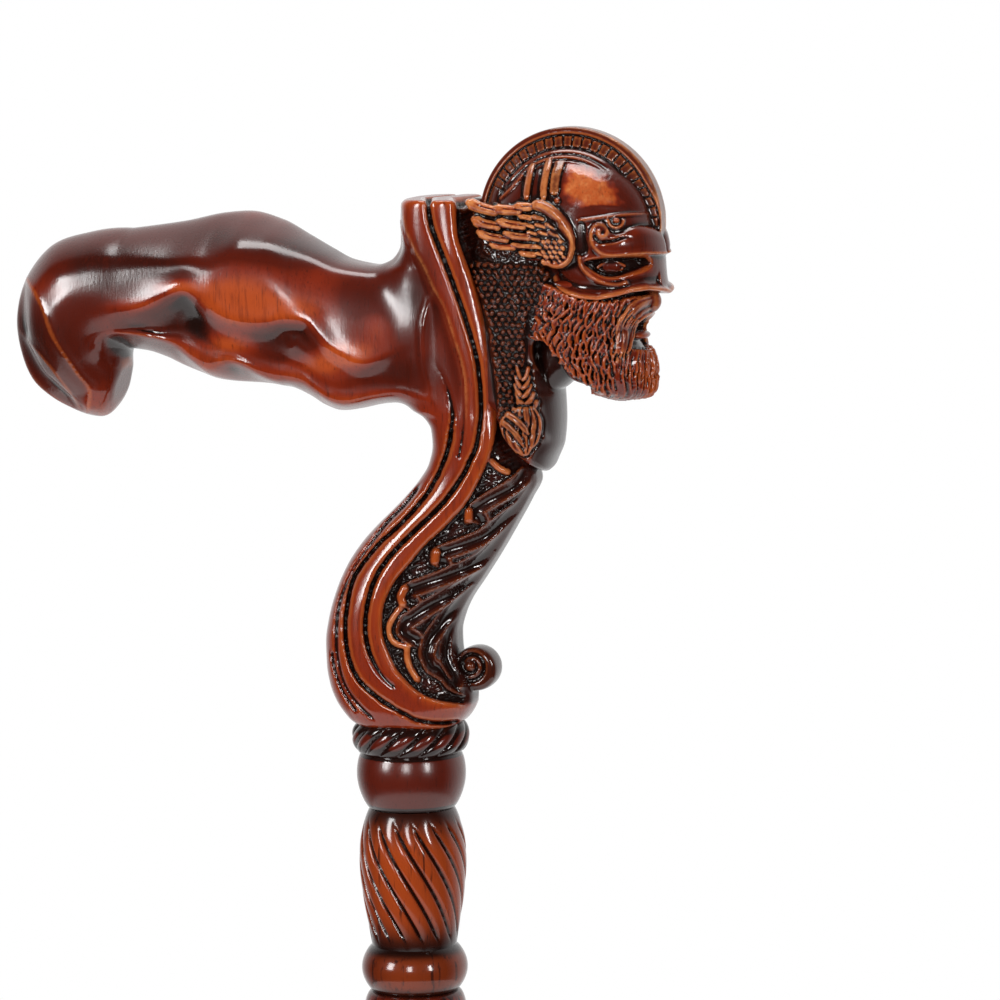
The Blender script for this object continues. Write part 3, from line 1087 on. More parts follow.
def make_body():
    """Grip, pommel and neck as one carved skin."""
    coarse = np.arange(-109, -26, COARSE_STEP)
    fine = np.arange(coarse[-1] + 0.6, 39.5, FORWARD_STEP)
    height = np.arange(-3, 139.5, HEIGHT_STEP)
    side = np.arange(-20, 20.1, SIDE_STEP)
    block = Block(np.concatenate((coarse, fine)), side, height, BODY_BASE)
    field = soft_union(neck_field(block), grip_field(block), 6.0)
    field = block.even(field)
    neck, finger, thumb, stain = (Canvas((-112, -6), (48, 146), 0.2) for _ in range(4))
    panel, light = paint_neck(neck)
    paint_grip(finger)
    paint_thumb_side(thumb)
    paint_stain(stain)
    u, v = side_view(block, NECK_LEVEL)
    relief = neck.read(u, v) * side_share(block)
    masks = {"panel": neck.read(u, v, panel), "gilt": neck.read(u, v, light)}
    u, v = side_view(block, GRIP_LEVEL)
    masks["tone"] = stain.read(u, v)
    relief = relief + ease(-block.y, 1.0, 6.0) * finger.read(u, v)
    relief = relief + ease(block.y, 1.0, 6.0) * thumb.read(u, v)
    field = soft_union(field - relief, scroll_field(block), 0.6)
    return finish_skin("handle_body", block, field, masks, 0.9)


def side_share(block):
    """How much of the carving each place takes: none in the middle of the neck's back and front edges."""
    back, front = block.over_height(NECK_BACK, NECK_FRONT)
    towards_edge = ease(np.abs(block.x - (back + front) / 2) / ((front - back) / 2), 0.45, 0.8)
    return 1 - towards_edge * (1 - ease(np.abs(block.y), 2.5, 8.5))


def scroll_field(block):
    """Rolled end of the stem: a disc with a groove that winds in to a raised eye."""
    du = block.x - SCROLL_FORWARD
    dv = block.z - SCROLL_HEIGHT
    radius = np.hypot(du, dv)
    eye_u, eye_v = du - SCROLL_EYE[0], dv - SCROLL_EYE[1]
    from_eye = np.hypot(eye_u, eye_v)
    turn = (np.arctan2(eye_v, eye_u) + 2.6) / (2 * math.pi) % 1.0
    line = SCROLL_RADIUS * 0.74 - SCROLL_PITCH * turn
    groove = np.minimum(np.abs(from_eye - line), np.abs(from_eye - line + SCROLL_PITCH))
    depth = 1.3 * ease(0.8 - groove, 0, 0.6) * ease(from_eye, 1.3, 1.8)
    rise = 0.9 * ease(1.6 - from_eye, 0, 1.4) - 0.05 * radius ** 1.6
    cap = np.abs(block.y) - SCROLL_HALF_WIDTH - rise + depth
    crown = 0.6 * np.cos(block.y / SCROLL_HALF_WIDTH * 1.3) - 0.6
    return soft_cut(radius - SCROLL_RADIUS - crown, cap, 1.2).astype(np.float32)


def finish_skin(name, block, field, masks, crisp):
    """Skin a field and keep how hollow or sharp each place is, for the stain and the wear."""
    corners, quads = skin(field)
    obj = mesh_object(name, to_world(corners, block), quads)
    clipped = np.clip(field, -3, 3)
    fine = clipped - blur(clipped, 1)
    broad = clipped - blur(clipped, 4)
    paint(obj, "fine_hollow", read_block(fine, corners) / crisp)
    paint(obj, "broad_hollow", read_block(broad, corners) / crisp)
    for mask in ("panel", "gilt", "tone"):
        values = masks.get(mask, np.zeros((1, 1, 1)))
        paint(obj, mask, read_block(np.broadcast_to(values, field.shape), corners))
    return obj


def both_sides(values, shape):
    """Values of one side, spread over a shape, together with their mirror image."""
    values = np.broadcast_to(values, shape)
    return np.concatenate((values[:, ::-1], values), axis=1)


def finish_half(name, block, field, masks):
    """Skin a field of the head given for one side, together with its mirror image."""
    masks = {mask: both_sides(values, field.shape) for mask, values in masks.items()}
    return finish_skin(name, block.mirrored(), both_sides(field, field.shape), masks, HEAD_CRISPNESS)


# The head


def half_block(forward, side, height, step):
    """Evenly spaced samples of one side of the head."""
    return Block(np.arange(*forward, step), np.arange(0.5 * step, side, step), np.arange(*height, step))


def level_field(block, levels, squareness):
    """Rounded solid given by back, front and half width at each height."""
    curves = [[(level[0], level[part]) for level in levels] for part in (1, 2, 3)]
    field = oval_field(block, curves, squareness, 14)
    field = soft_cut(field, levels[0][0] - block.z, LEVEL_ROUNDING)
    return soft_cut(field, block.z - levels[-1][0], LEVEL_ROUNDING)


def ball_field(block, centre, radii):
    """Ellipsoid with its three radii along the axes."""
    axes = zip((block.x, block.y, block.z), centre, radii)
    total = np.sqrt(sum(((axis - place) / radius) ** 2 for axis, place, radius in axes))
    return block.even((total - 1) * min(radii), 8.0)


def front_view(block, v):
    """Distance round the head's front from its side, with the height seen there."""
    turn = np.arctan2(block.x - HEAD_AXIS, np.abs(block.y) + 0.01)
    return HEAD_ROUND * turn + 0 * v, v


def turned(points, levels):
    """Places seen from the side as distances round the front of a rounded solid."""
    heights, backs, fronts, widths = np.array(levels).T
    angle = np.radians(np.linspace(0, 180, 90))
    placed = []
    for point, v in points:
        back, front, width = (np.interp(v, heights, sizes) for sizes in (backs, fronts, widths))
        x = (back + front) / 2 - (front - back) / 2 * np.cos(angle)
        y = width * np.sin(angle)
        u, _ = seen(x, y, v, HEAD_LEVEL)
        turn = HEAD_ROUND * np.arctan2(x - HEAD_AXIS, y)
        placed.append((float(np.interp(point, np.maximum.accumulate(u), turn)), v))
    return placed


def comb_field(block):
    """Half-round comb with lines, gaps and a row of blocks cut in its sides."""
    forward = block.x - COMB_FORWARD
    up = block.z - (CROWN_BASE - COMB_DROP)
    radius = np.hypot(forward, up)
    angle = np.degrees(np.arctan2(up, forward))
    angle = np.where(angle < -90, angle + 360, angle)
    half = np.interp(radius, *zip(*COMB_PROFILE))
    inner = radius - 1.4 * ease(30 - angle, 0, 30)
    relief = sum(height * np.exp(-((inner - place) / width) ** 2) for place, width, height in COMB_LINES)
    relief -= sum(depth * np.exp(-((inner - place) / width) ** 2) for place, width, depth in COMB_GAPS)
    low, high = COMB_BLOCKS
    in_blocks = (inner > low) & (inner < high) & (angle < COMB_BLOCK_END)
    phase = (angle - COMB_BLOCK_START) / COMB_BLOCK_PITCH % 1.0
    relief += in_blocks * (0.15 - 0.8 * ease(np.abs(phase - 0.5) * 2, 0.80, 0.94))
    field = np.abs(block.y) - (half + relief).astype(np.float32)
    field = soft_cut(field, radius - COMB_RADIUS, 0.8)
    ends = np.maximum(COMB_FIRST - angle, angle - COMB_LAST) * radius * math.pi / 180
    return soft_cut(field, ends, 1.0).astype(np.float32)


def paint_dome(canvas):
    """Ribs, studs, strands and the stippled field; returns where the wood is lighter."""
    gilt, warm = canvas.zeros(), canvas.zeros()
    for line, width, crown in DOME_RIBS:
        canvas.stroke(line, width, 0.1, crown, shadow=0.4)
        part, on = canvas.near(line, width, 0.4)
        raise_to(gilt, part, 0.55 * on)
    for line in COMB_STRANDS:
        canvas.ridge(line, 0.45, 0.7)
    for place in DOME_STUDS:
        canvas.stroke([place, (place[0] + 0.02, place[1] + 0.02)], 0.75, 0.5, 0.8)
    part, depth = canvas.inside(DOME_FIELD)
    u, v = (places[part] for places in canvas.whole())
    canvas.height[part] += 0.3 * ease(depth, 0, 3.0) + 0.03 * speckle(u, v, 0.5, 5)
    patchy = depth + 0.9 * speckle(u, v, 1.0, 9) + 0.6 * speckle(u, v, 2.6, 12)
    warm[part] = ease(patchy, -1.8, 3.2)
    raise_to(gilt, part, 0.9 * ease(patchy, 0.2, 3.5))
    return gilt, warm


def wing_shape(share):
    """Feathers are blunt at the tip and narrow a little towards the root."""
    return np.minimum(np.sqrt(np.clip(share / 0.12 + 0.4, 0, 1)), 1.0 - 0.12 * share)


def paint_wing():
    """Side face of a wing, as its distance from the middle of the head."""
    canvas = Canvas((16, 879), (54, 907), 0.12)
    part, depth = canvas.inside(WING_BASE, 3)
    canvas.height[:] = WING_ROOT
    canvas.height[part] += (WING_FACE - WING_ROOT) * ease(depth, -0.3, 0.6)
    for line, width in FEATHERS:
        canvas.stroke(line, 1.12 * width, FEATHER_LEVEL - 0.5 * (width < 1), FEATHER_CROWN, wing_shape)
        above = [(forward + 0.4 * width, height + 0.18 * width) for forward, height in line]
        canvas.groove(above, 0.08 * width, 0.55 * width, 0.36, (0.35, 0.0))
    random = np.random.default_rng(4)
    for forward, height in staggered(*WING_SCALES, random):
        line = [(forward, height), (forward + 0.35, height - 0.25)]
        canvas.stroke(line, random.uniform(0.62, 0.82), SCALE_LEVEL, SCALE_CROWN)
    part, depth = canvas.inside(WING_SHOULDER, 2)
    share = np.clip(depth / 2.0, 0, 1)
    edge = EDGE_LEVEL + EDGE_CROWN * np.sqrt(share * (2 - share))
    raise_to(canvas.height, part, np.where(depth > 0, edge, 0))
    return canvas


def wing_field(block, canvas, u, v):
    """Wing with its carved face outwards, as a true distance where the face is steep."""
    slopes = np.gradient(canvas.height, canvas.step)
    steep = np.sqrt(1 + slopes[0] ** 2 + slopes[1] ** 2)
    field = (np.abs(block.y) - canvas.read(u, v)) / canvas.read(u, v, steep)
    return soft_cut(field, 11.0 - np.abs(block.y), 1.5)


def above_rim(turn, v):
    """Height above the lower rim of the eye guard."""
    rim_turn, rim_v = zip(*turned(GUARD_RIM, GUARD_LEVELS))
    return v - np.interp(turn, rim_turn, rim_v)


def paint_guard(canvas):
    """Brow shield, curls, eye openings and the lids inside them; returns where the wood is lighter."""
    gilt = canvas.zeros()
    part, depth = canvas.inside(turned(BROW_SHIELD, GUARD_LEVELS), 3)
    rise = np.clip(depth / 2.6, 0, 1)
    canvas.height[part] += 1.4 * np.sqrt(rise * (2 - rise))
    canvas.groove(turned(CURL_GAP, GUARD_LEVELS), 0.35, 1.1, 0.4, (0.4, 0.1))
    for outline, drop, low, high in ((TEMPLE_RECESS, 1.8, -0.3, 0.8), (EYE_OPENING, 3.4, -0.1, 1.1)):
        part, depth = canvas.inside(turned(outline, GUARD_LEVELS))
        canvas.height[part] -= drop * ease(depth, low, high)
    eye, level = turned([EYE_PLACE], GUARD_LEVELS)[0]
    for line, *sizes in EYE_STROKES:
        canvas.stroke([(eye + u, level + v) for u, v in line], *sizes)
    for points, width, height, lighter in GUARD_LINES:
        points = turned(points, GUARD_LEVELS)
        canvas.ridge(points, width, height)
        part, on = canvas.near(points, 1.4 * width, 0.5)
        raise_to(gilt, part, lighter * on)
    place = turned([GUARD_STUD], GUARD_LEVELS)[0]
    canvas.stroke([place, (place[0] + 0.02, place[1])], 0.8, 0.3, 0.8)
    u, v = canvas.whole()
    above = above_rim(u, v)
    canvas.height += 1.4 * np.exp(-(above / 0.9) ** 2)
    canvas.height -= 0.8 * np.exp(-((above - 2.6) / 1.5) ** 2) * (u < 22)
    return np.maximum(gilt, 0.4 * ease(1.1 - np.abs(above), 0, 0.5))


def make_helmet():
    """Dome, comb, wings and eye guard."""
    block = half_block((15, 76.5), 20.0, (872, 922), HELMET_STEP)
    side = Canvas((12, 866), (82, 928), 0.15)
    side_gilt, warm = paint_dome(side)
    u, v = side_view(block, HEAD_LEVEL)
    dome = ball_field(block, (DOME_FORWARD, 0, CROWN_BASE - DOME_RADII[2]), DOME_RADII) - side.read(u, v)
    field = soft_cut(dome, 886.0 - block.z, 1.0)
    gilt, tone = side.read(u, v, side_gilt), HEAD_TONE + 1.4 * side.read(u, v, warm)
    front = Canvas((-26, 866), (26, 908), 0.15)
    front_gilt = paint_guard(front)
    turn, v = front_view(block, v)
    guard = level_field(block, GUARD_LEVELS, 2.0) - front.read(turn, v)
    guard = soft_cut(guard, (-above_rim(turn, v) - 0.5).astype(np.float32), 0.5)
    guard = soft_cut(guard, 43.0 - block.x, 1.0)
    comb = comb_field(block)
    radius = np.hypot(block.x - COMB_FORWARD, block.z - CROWN_BASE + COMB_DROP)
    comb_gilt = 0.6 * ease(radius, 23.4, 24.0) * ease(block.x, 40, 58) + 0.12 * ease(radius, 19, 19.3)
    wing = wing_field(block, paint_wing(), u, v)
    layers = (
        (guard, front.read(turn, v, front_gilt), HEAD_TONE + 0.15, 0.6),
        (comb, comb_gilt, HEAD_TONE - 0.1, 0.5),
        (wing, 0.85, -0.15, 0.4),
    )
    for layer, layer_gilt, layer_tone, rounding in layers:
        gilt = np.where(layer < field, layer_gilt, gilt)
        tone = np.where(layer < field, layer_tone, tone)
        field = soft_union(field, layer, rounding)
    return finish_half("handle_helmet", block, field, {"gilt": gilt, "tone": tone})


def strand_shape(share):
    """Strands taper to a point at their end."""
    return np.sqrt(np.clip((1 - share) / 0.25, 0.15, 1))


def paint_strand(canvas, line, width, dark, light):
    """Tapered strand of hair, lighter than the wood round it."""
    canvas.stroke(line, width, 0.4, 1.6, strand_shape, 0.5, 2)
    part, on = canvas.near(line, width, 0.5)
    raise_to(light, part, 0.35 * on)
    dark[part] *= 1 - on


def paint_mail(canvas, dark):
    """Small beads of mail, in dark wood."""
    part, depth = canvas.inside(MAIL_OUTLINE)
    inside = ease(depth, -0.2, 0.6)
    mail = copy(canvas)
    mail.height = canvas.zeros()
    random = np.random.default_rng(21)
    for u, v in staggered(*MAIL_BEADS, random):
        lean = random.uniform(-0.25, 0.25)
        mail.stroke([(u - 0.12, v - lean), (u + 0.12, v + lean)], random.uniform(0.58, 0.78), 0.3, 1.4)
    canvas.height[part] += inside * (0.7 + mail.height[part])
    dark[part] = 0.92 * inside


def paint_bust(canvas):
    """Mail, braid, tuft and the hollow of the throat; returns where dark and light wood lie."""
    dark, light = canvas.zeros(), canvas.zeros()
    paint_mail(canvas, dark)
    u, v = canvas.whole()
    behind = ease(v, 885.0, 886.5) * ease(44 - u, 0, 1)
    canvas.height += 0.5 * behind * speckle(u, v, 0.8, 5)
    dark = np.maximum(dark, 0.95 * behind)
    part, depth = canvas.inside(THROAT)
    canvas.height[part] -= 3.2 * ease(depth, -0.3, 1.8)
    raise_to(dark, part, ease(depth, -0.3, 1.0))
    dark = np.maximum(dark, 0.8 * ease(u, 36.0, 39.0) * ease(v, 874.0, 868.0))
    for line, width, height in CHEST_FOLDS:
        canvas.ridge(line, width, height)
    for x, z, size in BRAID_STEPS[::-1]:
        for way in (-1, 1):
            bend = 1.2 * way * size
            strand = [(x + 1.9 * way * size, z + 1.7), (x + bend, z - 0.2), (x - 0.1 * way, z - 1.7)]
            paint_strand(canvas, strand, 0.85 * size, dark, light)
    for line, width in TUFT_STRANDS:
        paint_strand(canvas, line, width, dark, light)
    return dark, light


def lock_shape(share):
    """Locks are blunt at the root and taper over the last part of their length."""
    root, tip = np.clip(share / 0.15 + 0.2, 0, 1), np.clip((1 - share) / 0.4, 0.06, 1)
    return np.minimum(np.sqrt(root), np.sqrt(tip))


def paint_locks(canvas, random, flow, count, width, wave, breaks, lift):
    """Many fine locks between neighbouring flow lines, wavy and broken into overlapping lengths."""
    flow = np.array(flow)
    for index in range(count):
        place = (index + random.uniform(-0.25, 0.25)) / (count - 1) * (len(flow) - 1)
        low = int(np.clip(place, 0, len(flow) - 2))
        guide = flow[low] + (flow[low + 1] - flow[low]) * np.clip(place - low, 0, 1)
        line = smooth_line(guide, 0.5)
        share = np.linspace(0, 1, len(line))
        phase = random.uniform(0, 2 * math.pi)
        line[:, 0] += wave * np.sin(phase + 2 * math.pi * 2.8 * share) * ease(share, 0, 0.2)
        starts = np.linspace(0, 1, breaks + 1)[:-1] + random.uniform(-0.06, 0.06, breaks)
        for start in starts:
            first = int(max(start, 0) * len(line))
            last = min(len(line), first + int(len(line) * (1.35 / breaks)))
            piece = line[first:last:3]
            if len(piece) > 2:
                level = lift + random.uniform(-0.5, 0.1)
                points = turned([tuple(point) for point in piece], BEARD_LEVELS)
                canvas.stroke(points, width * random.uniform(0.85, 1.2), level, 1.1, lock_shape, 0.25)


def paint_beard(canvas):
    """Wavy locks of the cheeks and chin and the moustache over them; returns where the wood is lighter."""
    canvas.height[:] = -1.0
    random = np.random.default_rng(7)
    for layer in LOCKS:
        paint_locks(canvas, random, *layer)
    gilt = canvas.zeros()
    for line in MOUSTACHE_FLOW:
        part, on = canvas.near(turned(line, BEARD_LEVELS), 1.3, 0.6)
        raise_to(gilt, part, 0.4 * on)
    canvas.groove(turned(MOUTH, BEARD_LEVELS), 0.2, 0.8, 0.4, (0.2, 0.0))
    return gilt


def cut_outline(field, outline, u, v, rounding):
    """Keep only what lies inside an outline seen from the side."""
    canvas = Canvas((8, 824), (86, 910), 0.25)
    part, depth = canvas.inside(outline, 100)
    canvas.height[part] = np.clip(depth, -4.0, 4.0)
    return soft_cut(field, -canvas.read(u, v), rounding)


def make_bust():
    """Mail, chest, beard and the plain lower face."""
    block = half_block((18.5, 71), 17.5, (827.5, 902), BUST_STEP)
    side = Canvas((8, 822), (86, 912), 0.15)
    dark, light = paint_bust(side)
    u, v = side_view(block, HEAD_LEVEL)
    bust = level_field(block, BUST_LEVELS, 2.4) - side.read(u, v)
    bust = cut_outline(bust, BUST_OUTLINE, u, v, 1.5)
    core = level_field(block, CORE_LEVELS, 2.0)
    bust = soft_union(bust, core, 1.0)
    front = Canvas((-26, 842), (26, 888), 0.13)
    front_gilt = paint_beard(front)
    turn, v = front_view(block, v)
    beard = cut_outline(level_field(block, BEARD_LEVELS, 2.2), BEARD_OUTLINE, u, v, 1.5)
    rooted = ease(v, 849.0, 853.5)
    beard = beard - front.read(turn, v) * rooted + 0.5 * (1 - rooted)
    face = soft_union(ball_field(block, *LIP), ball_field(block, *NOSE), 0.5)
    beard = soft_union(beard, face, 0.5)
    on_beard = beard < bust
    masks = {
        "gilt": np.where(on_beard, front.read(turn, v, front_gilt), side.read(u, v, light)),
        "panel": np.where(on_beard, 0.2, np.where(core < bust + 0.3, 1.0, side.read(u, v, dark))),
        "tone": np.where(on_beard, HEAD_TONE + 0.35, HEAD_TONE + 0.1 * np.sin(v * 0.9)),
    }
    return finish_half("handle_bust", block, soft_union(bust, beard, 0.4), masks)


# Turned parts


class Turning:
    """Rings of a turned piece from its foot up, with how hollow each place is."""

    def __init__(self, sides):
        self.angles = np.arange(sides) * 2 * math.pi / sides
        self.rings, self.hollow = [], []

    def add(self, radii, height, hollow=0.0):
        """Ring at a height; its radii and hollow are one number each, or one for every side."""
        radii, height, hollow, angles = np.broadcast_arrays(radii, height, hollow, self.angles)
        self.rings.append(np.stack((radii * np.cos(angles), radii * np.sin(angles), height), 1))
        self.hollow.append(hollow)

    def finish(self, name):
        """Mesh over the rings, with flat ends."""
        rings, hollow = np.array(self.rings), np.concatenate(self.hollow)
        index = np.arange(hollow.size).reshape(rings.shape[:2])
        after = np.roll(index, -1, axis=1)
        quads = np.stack((index[:-1], after[:-1], after[1:], index[1:]), -1).reshape(-1, 4)
        obj = mesh_object(name, rings.reshape(-1, 3) * MM, quads)
        mesh = obj.data
        work = bmesh.new()
        work.from_mesh(mesh)
        work.verts.ensure_lookup_table()
        for ring in (index[0][::-1], index[-1]):
            work.faces.new([work.verts[corner] for corner in ring])
        work.to_mesh(mesh)
        work.free()
        mesh.polygons.foreach_set("use_smooth", np.full(len(mesh.polygons), True))
        mesh.set_sharp_from_angle(angle=math.radians(50))
        masks = {"fine_hollow": hollow, "broad_hollow": 0, "panel": 0, "gilt": 0, "tone": TURNED_TONE}
        for mask, values in masks.items():
            paint(obj, mask, np.broadcast_to(values, hollow.shape))
        return obj


def bulge(first, widest, last, low, high, steps):
    """Round swelling between two heights, as (radius, height) points."""
    points = []
    for step in range(steps + 1):
        share = step / steps
        base = first + (last - first) * share
        lift = widest - (first + last) / 2
        points.append((base + lift * math.sin(math.pi * share) ** 0.75, low + (high - low) * share))
    return points


def make_turned_foot():
    """Ball and rope ring at the foot of the handle."""
    turning = Turning(FOOT_SIDES)
    cove = BALL_DIAMETER / 2 - 1.1
    for radius, height in bulge(BALL_FOOT_DIAMETER / 2, BALL_DIAMETER / 2, cove, 0, BALL_HEIGHT, BALL_RINGS):
        dark = 0.5 * ease(height, 13.5, 14.5) + 0.6 * ease(1.5 - height, 0, 1.5)
        turning.add(radius, HANDLE_BASE + height, dark)
    for level in range(1, ROPE_RINGS):
        share = level / ROPE_RINGS
        crown = math.sin(math.pi * share) ** 0.55
        strand = ((turning.angles - STRAND_LEAN * share) / (2 * math.pi) * STRAND_COUNT) % 1.0
        round_strand = np.sqrt(np.clip(1 - (2 * strand - 1) ** 2, 0, 1))
        radii = cove + (ROPE_DIAMETER / 2 - cove) * crown - ROPE_DEPTH * (1 - round_strand) * crown
        dark = 1.6 * (1 - round_strand) ** 2 + 0.8 * (1 - crown)
        turning.add(radii, HANDLE_BASE + BALL_HEIGHT + ROPE_HEIGHT * share, dark)
    turning.add(cove, BODY_BASE, 1.0)
    return turning.finish("handle_foot")


def shaft_radius(height):
    """Radius of the stick, which tapers a little faster towards its foot."""
    share = min(max((height - SHAFT_FOOT) / (SHOULDER - SHAFT_FOOT), 0.0), 1.0)
    growth = 1 - (1 - share) ** TAPER_FULLNESS
    return (SHAFT_FOOT_DIAMETER + (SHAFT_TOP_DIAMETER - SHAFT_FOOT_DIAMETER) * growth) / 2


def vase_radius(rise):
    """Radius of the vase at a height above its foot."""
    foot, widest, top = VASE_FOOT_DIAMETER / 2, VASE_DIAMETER / 2, VASE_TOP_DIAMETER / 2
    if rise < VASE_RISE_HEIGHT:
        return foot + (widest - foot) * math.sin(math.pi / 2 * rise / VASE_RISE_HEIGHT) ** 1.2
    fall = (rise - VASE_RISE_HEIGHT) / VASE_FALL_HEIGHT
    return top + (widest - top) * math.cos(math.pi / 2 * min(fall, 1.0)) ** 0.8


def make_shaft():
    """Tapered stick with its ring and fluted vase."""
    turning = Turning(SHAFT_SIDES)
    shoulder = SHOULDER - SHOULDER_ROUNDING
    turning.add(shaft_radius(SHAFT_FOOT) - 0.6, SHAFT_FOOT)
    for height in np.linspace(SHAFT_FOOT + 0.6, shoulder, TAPER_RINGS):
        turning.add(shaft_radius(height), height)
    cove = COVE_DIAMETER / 2
    drop = shaft_radius(shoulder) - cove
    for angle in np.linspace(8, 90, ROUNDING_RINGS):
        turn = math.radians(angle)
        height = shoulder + SHOULDER_ROUNDING * math.sin(turn)
        turning.add(cove + drop * math.cos(turn), height, ease(angle, 30, 90))
    vase_low = SHOULDER + RING_HEIGHT
    for radius, height in bulge(cove, RING_DIAMETER / 2, cove, SHOULDER, vase_low, RING_RINGS)[1:]:
        edge = min(height - SHOULDER, vase_low - height)
        turning.add(radius, height, 1.1 - 0.8 * ease(edge, 0.3, 3.0))
    total = VASE_RISE_HEIGHT + VASE_FALL_HEIGHT
    for share in np.linspace(0.03, 1.0, VASE_RINGS):
        deep = ease(share, 0.02, 0.16) * ease(1 - share, 0.04, 0.2)
        phase = ((turning.angles - FLUTE_TWIST * share) / (2 * math.pi) * FLUTE_COUNT) % 1.0
        away = np.abs(phase - 0.5) * 2
        cut = ease(1 - away / (0.12 + 0.2 * deep), 0, 1) * deep
        radii = vase_radius(total * share) - FLUTE_DEPTH * cut - 0.25 * (1 - away) ** 2 * deep
        ends = 0.8 * ease(share, 0.84, 1.0) + 0.8 * ease(0.2 - share, 0, 0.2)
        turning.add(radii, vase_low + total * share, 2.0 * cut + ends)
    return turning.finish("shaft_turned")


def ferrule_profile():
    """Radius and height round the rubber foot, from under the sole to the floor of its cup."""
    flare, mouth = FLARE_DIAMETER / 2, shaft_radius(FERRULE_HEIGHT) + SEAT_GAP
    sleeve, seat = mouth + FERRULE_WALL, shaft_radius(SOLE_THICKNESS) + SEAT_GAP
    waist, step = FLARE_HEIGHT - 1.6, flare - FLARE_DRAFT - sleeve
    profile = []
    for inner, outer in SOLE_GROOVES:
        profile += [(inner, 0.0), (inner, SOLE_GROOVE_DEPTH), (outer, SOLE_GROOVE_DEPTH), (outer, 0.0)]
    for angle in np.linspace(0, math.pi / 2, 6):
        across, up = SOLE_ROUNDING * math.sin(angle), SOLE_ROUNDING * math.cos(angle)
        profile.append((flare - SOLE_ROUNDING + across, SOLE_ROUNDING - up))
    profile += [(flare, 4.0), (flare - 0.35, 4.4), (flare, 4.8), (flare - FLARE_DRAFT, waist)]
    for angle in np.linspace(0.3, math.pi / 2, 7):
        rise = 2.6 * math.sin(angle) ** 0.8
        profile.append((flare - FLARE_DRAFT - step * (1 - math.cos(angle)), waist + rise))
    profile += [(sleeve, FLARE_HEIGHT + 3.0), (sleeve, FERRULE_HEIGHT - 5.2)]
    for outset, drop in ((0.3, 4.9), (0.3, 1.0), (-0.1, 0.2), (-0.6, 0.0)):
        profile.append((sleeve + outset, FERRULE_HEIGHT - drop))
    return profile + [(mouth, FERRULE_HEIGHT), (seat, SOLE_THICKNESS + 2.1), (seat, SOLE_THICKNESS)]


def make_ferrule():
    """Rubber foot: flared sole with moulded lines, and a sleeve up the stick."""
    turning = Turning(FERRULE_SIDES)
    for radius, height in ferrule_profile():
        turning.add(radius, height)
    return turning.finish("ferrule_rubber")


# Materials


class Nodes:
    """Short way to add nodes to a material or world and wire them."""

    def __init__(self, owner, shader="Principled BSDF"):
        owner.use_nodes = True
        self.owner = owner
        self.tree = owner.node_tree
        self.shader = self.tree.nodes[shader]

    def add(self, kind, inputs=None, **settings):
        """New node with its settings, and its inputs by name or number."""
        node = self.tree.nodes.new(kind)
        for key, value in settings.items():
            setattr(node, key, value)
        self.feed(node, inputs or {})
        return node

    def feed(self, node, inputs):
        """Give inputs of a node a value, or the output of another node."""
        for name, source in inputs.items():
            if isinstance(source, bpy.types.NodeSocket):
                self.tree.links.new(source, node.inputs[name])
            else:
                node.inputs[name].default_value = source

    def place(self):
        return self.add("ShaderNodeTexCoord").outputs["Object"]

    def maths(self, operation, a, b=0.0):
        return self.add("ShaderNodeMath", {0: a, 1: b}, operation=operation).outputs[0]

    def times(self, a, b):
        return self.maths("MULTIPLY", a, b)

    def plus(self, a, b):
        return self.maths("ADD", a, b)

    def minus(self, a, b):
        return self.maths("SUBTRACT", a, b)

    def span(self, source, low, high, first=0.0, last=1.0):
        """Smooth step from first, where the source is low, to last, where it is high."""
        inputs = {"Value": source, "From Min": low, "From Max": high, "To Min": first, "To Max": last}
        return self.add("ShaderNodeMapRange", inputs, interpolation_type="SMOOTHSTEP").outputs["Result"]

    def attribute(self, name):
        return self.add("ShaderNodeAttribute", attribute_name=name).outputs["Fac"]

    def stretched(self, place, scale, rotation=(0.0, 0.0, 0.0)):
        inputs = {"Vector": place, "Scale": scale, "Rotation": rotation}
        return self.add("ShaderNodeMapping", inputs).outputs[0]

    def noise(self, place, scale, detail=3.0, rough=0.55, stretch=(1, 1, 1)):
        vector = self.stretched(place, stretch)
        inputs = {"Vector": vector, "Scale": scale, "Detail": detail, "Roughness": rough}
        return self.add("ShaderNodeTexNoise", inputs).outputs["Fac"]

    def blend(self, share, a, b):
        """Colour from a to b; a fixed colour is given as red, green and blue."""
        a, b = ((*colour, 1.0) if isinstance(colour, tuple) else colour for colour in (a, b))
        return self.add("ShaderNodeMix", {"Factor": share, 6: a, 7: b}, data_type="RGBA").outputs[2]

    def bump(self, height, strength, distance):
        inputs = {"Height": height, "Strength": strength, "Distance": distance}
        return self.add("ShaderNodeBump", inputs).outputs[0]


# Stains of the wood, from dark to light
DEEP = (0.010, 0.0028, 0.0018)
DARK = (0.030, 0.0045, 0.0022)
SHADE = (0.090, 0.0085, 0.0030)
MIDDLE = (0.220, 0.0200, 0.0048)
WARM = (0.440, 0.0650, 0.0100)
WORN = (0.450, 0.0950, 0.0170)
GOLD = (0.720, 0.2600, 0.0820)

# Steel pieces inside: node, material, colour, roughness
STEELS = [
    ("dowel_screw", "plated_steel", (0.55, 0.55, 0.57), 0.35),
    ("ferrule_washer", "disc_steel_finish", (0.5, 0.5, 0.52), 0.4),
]


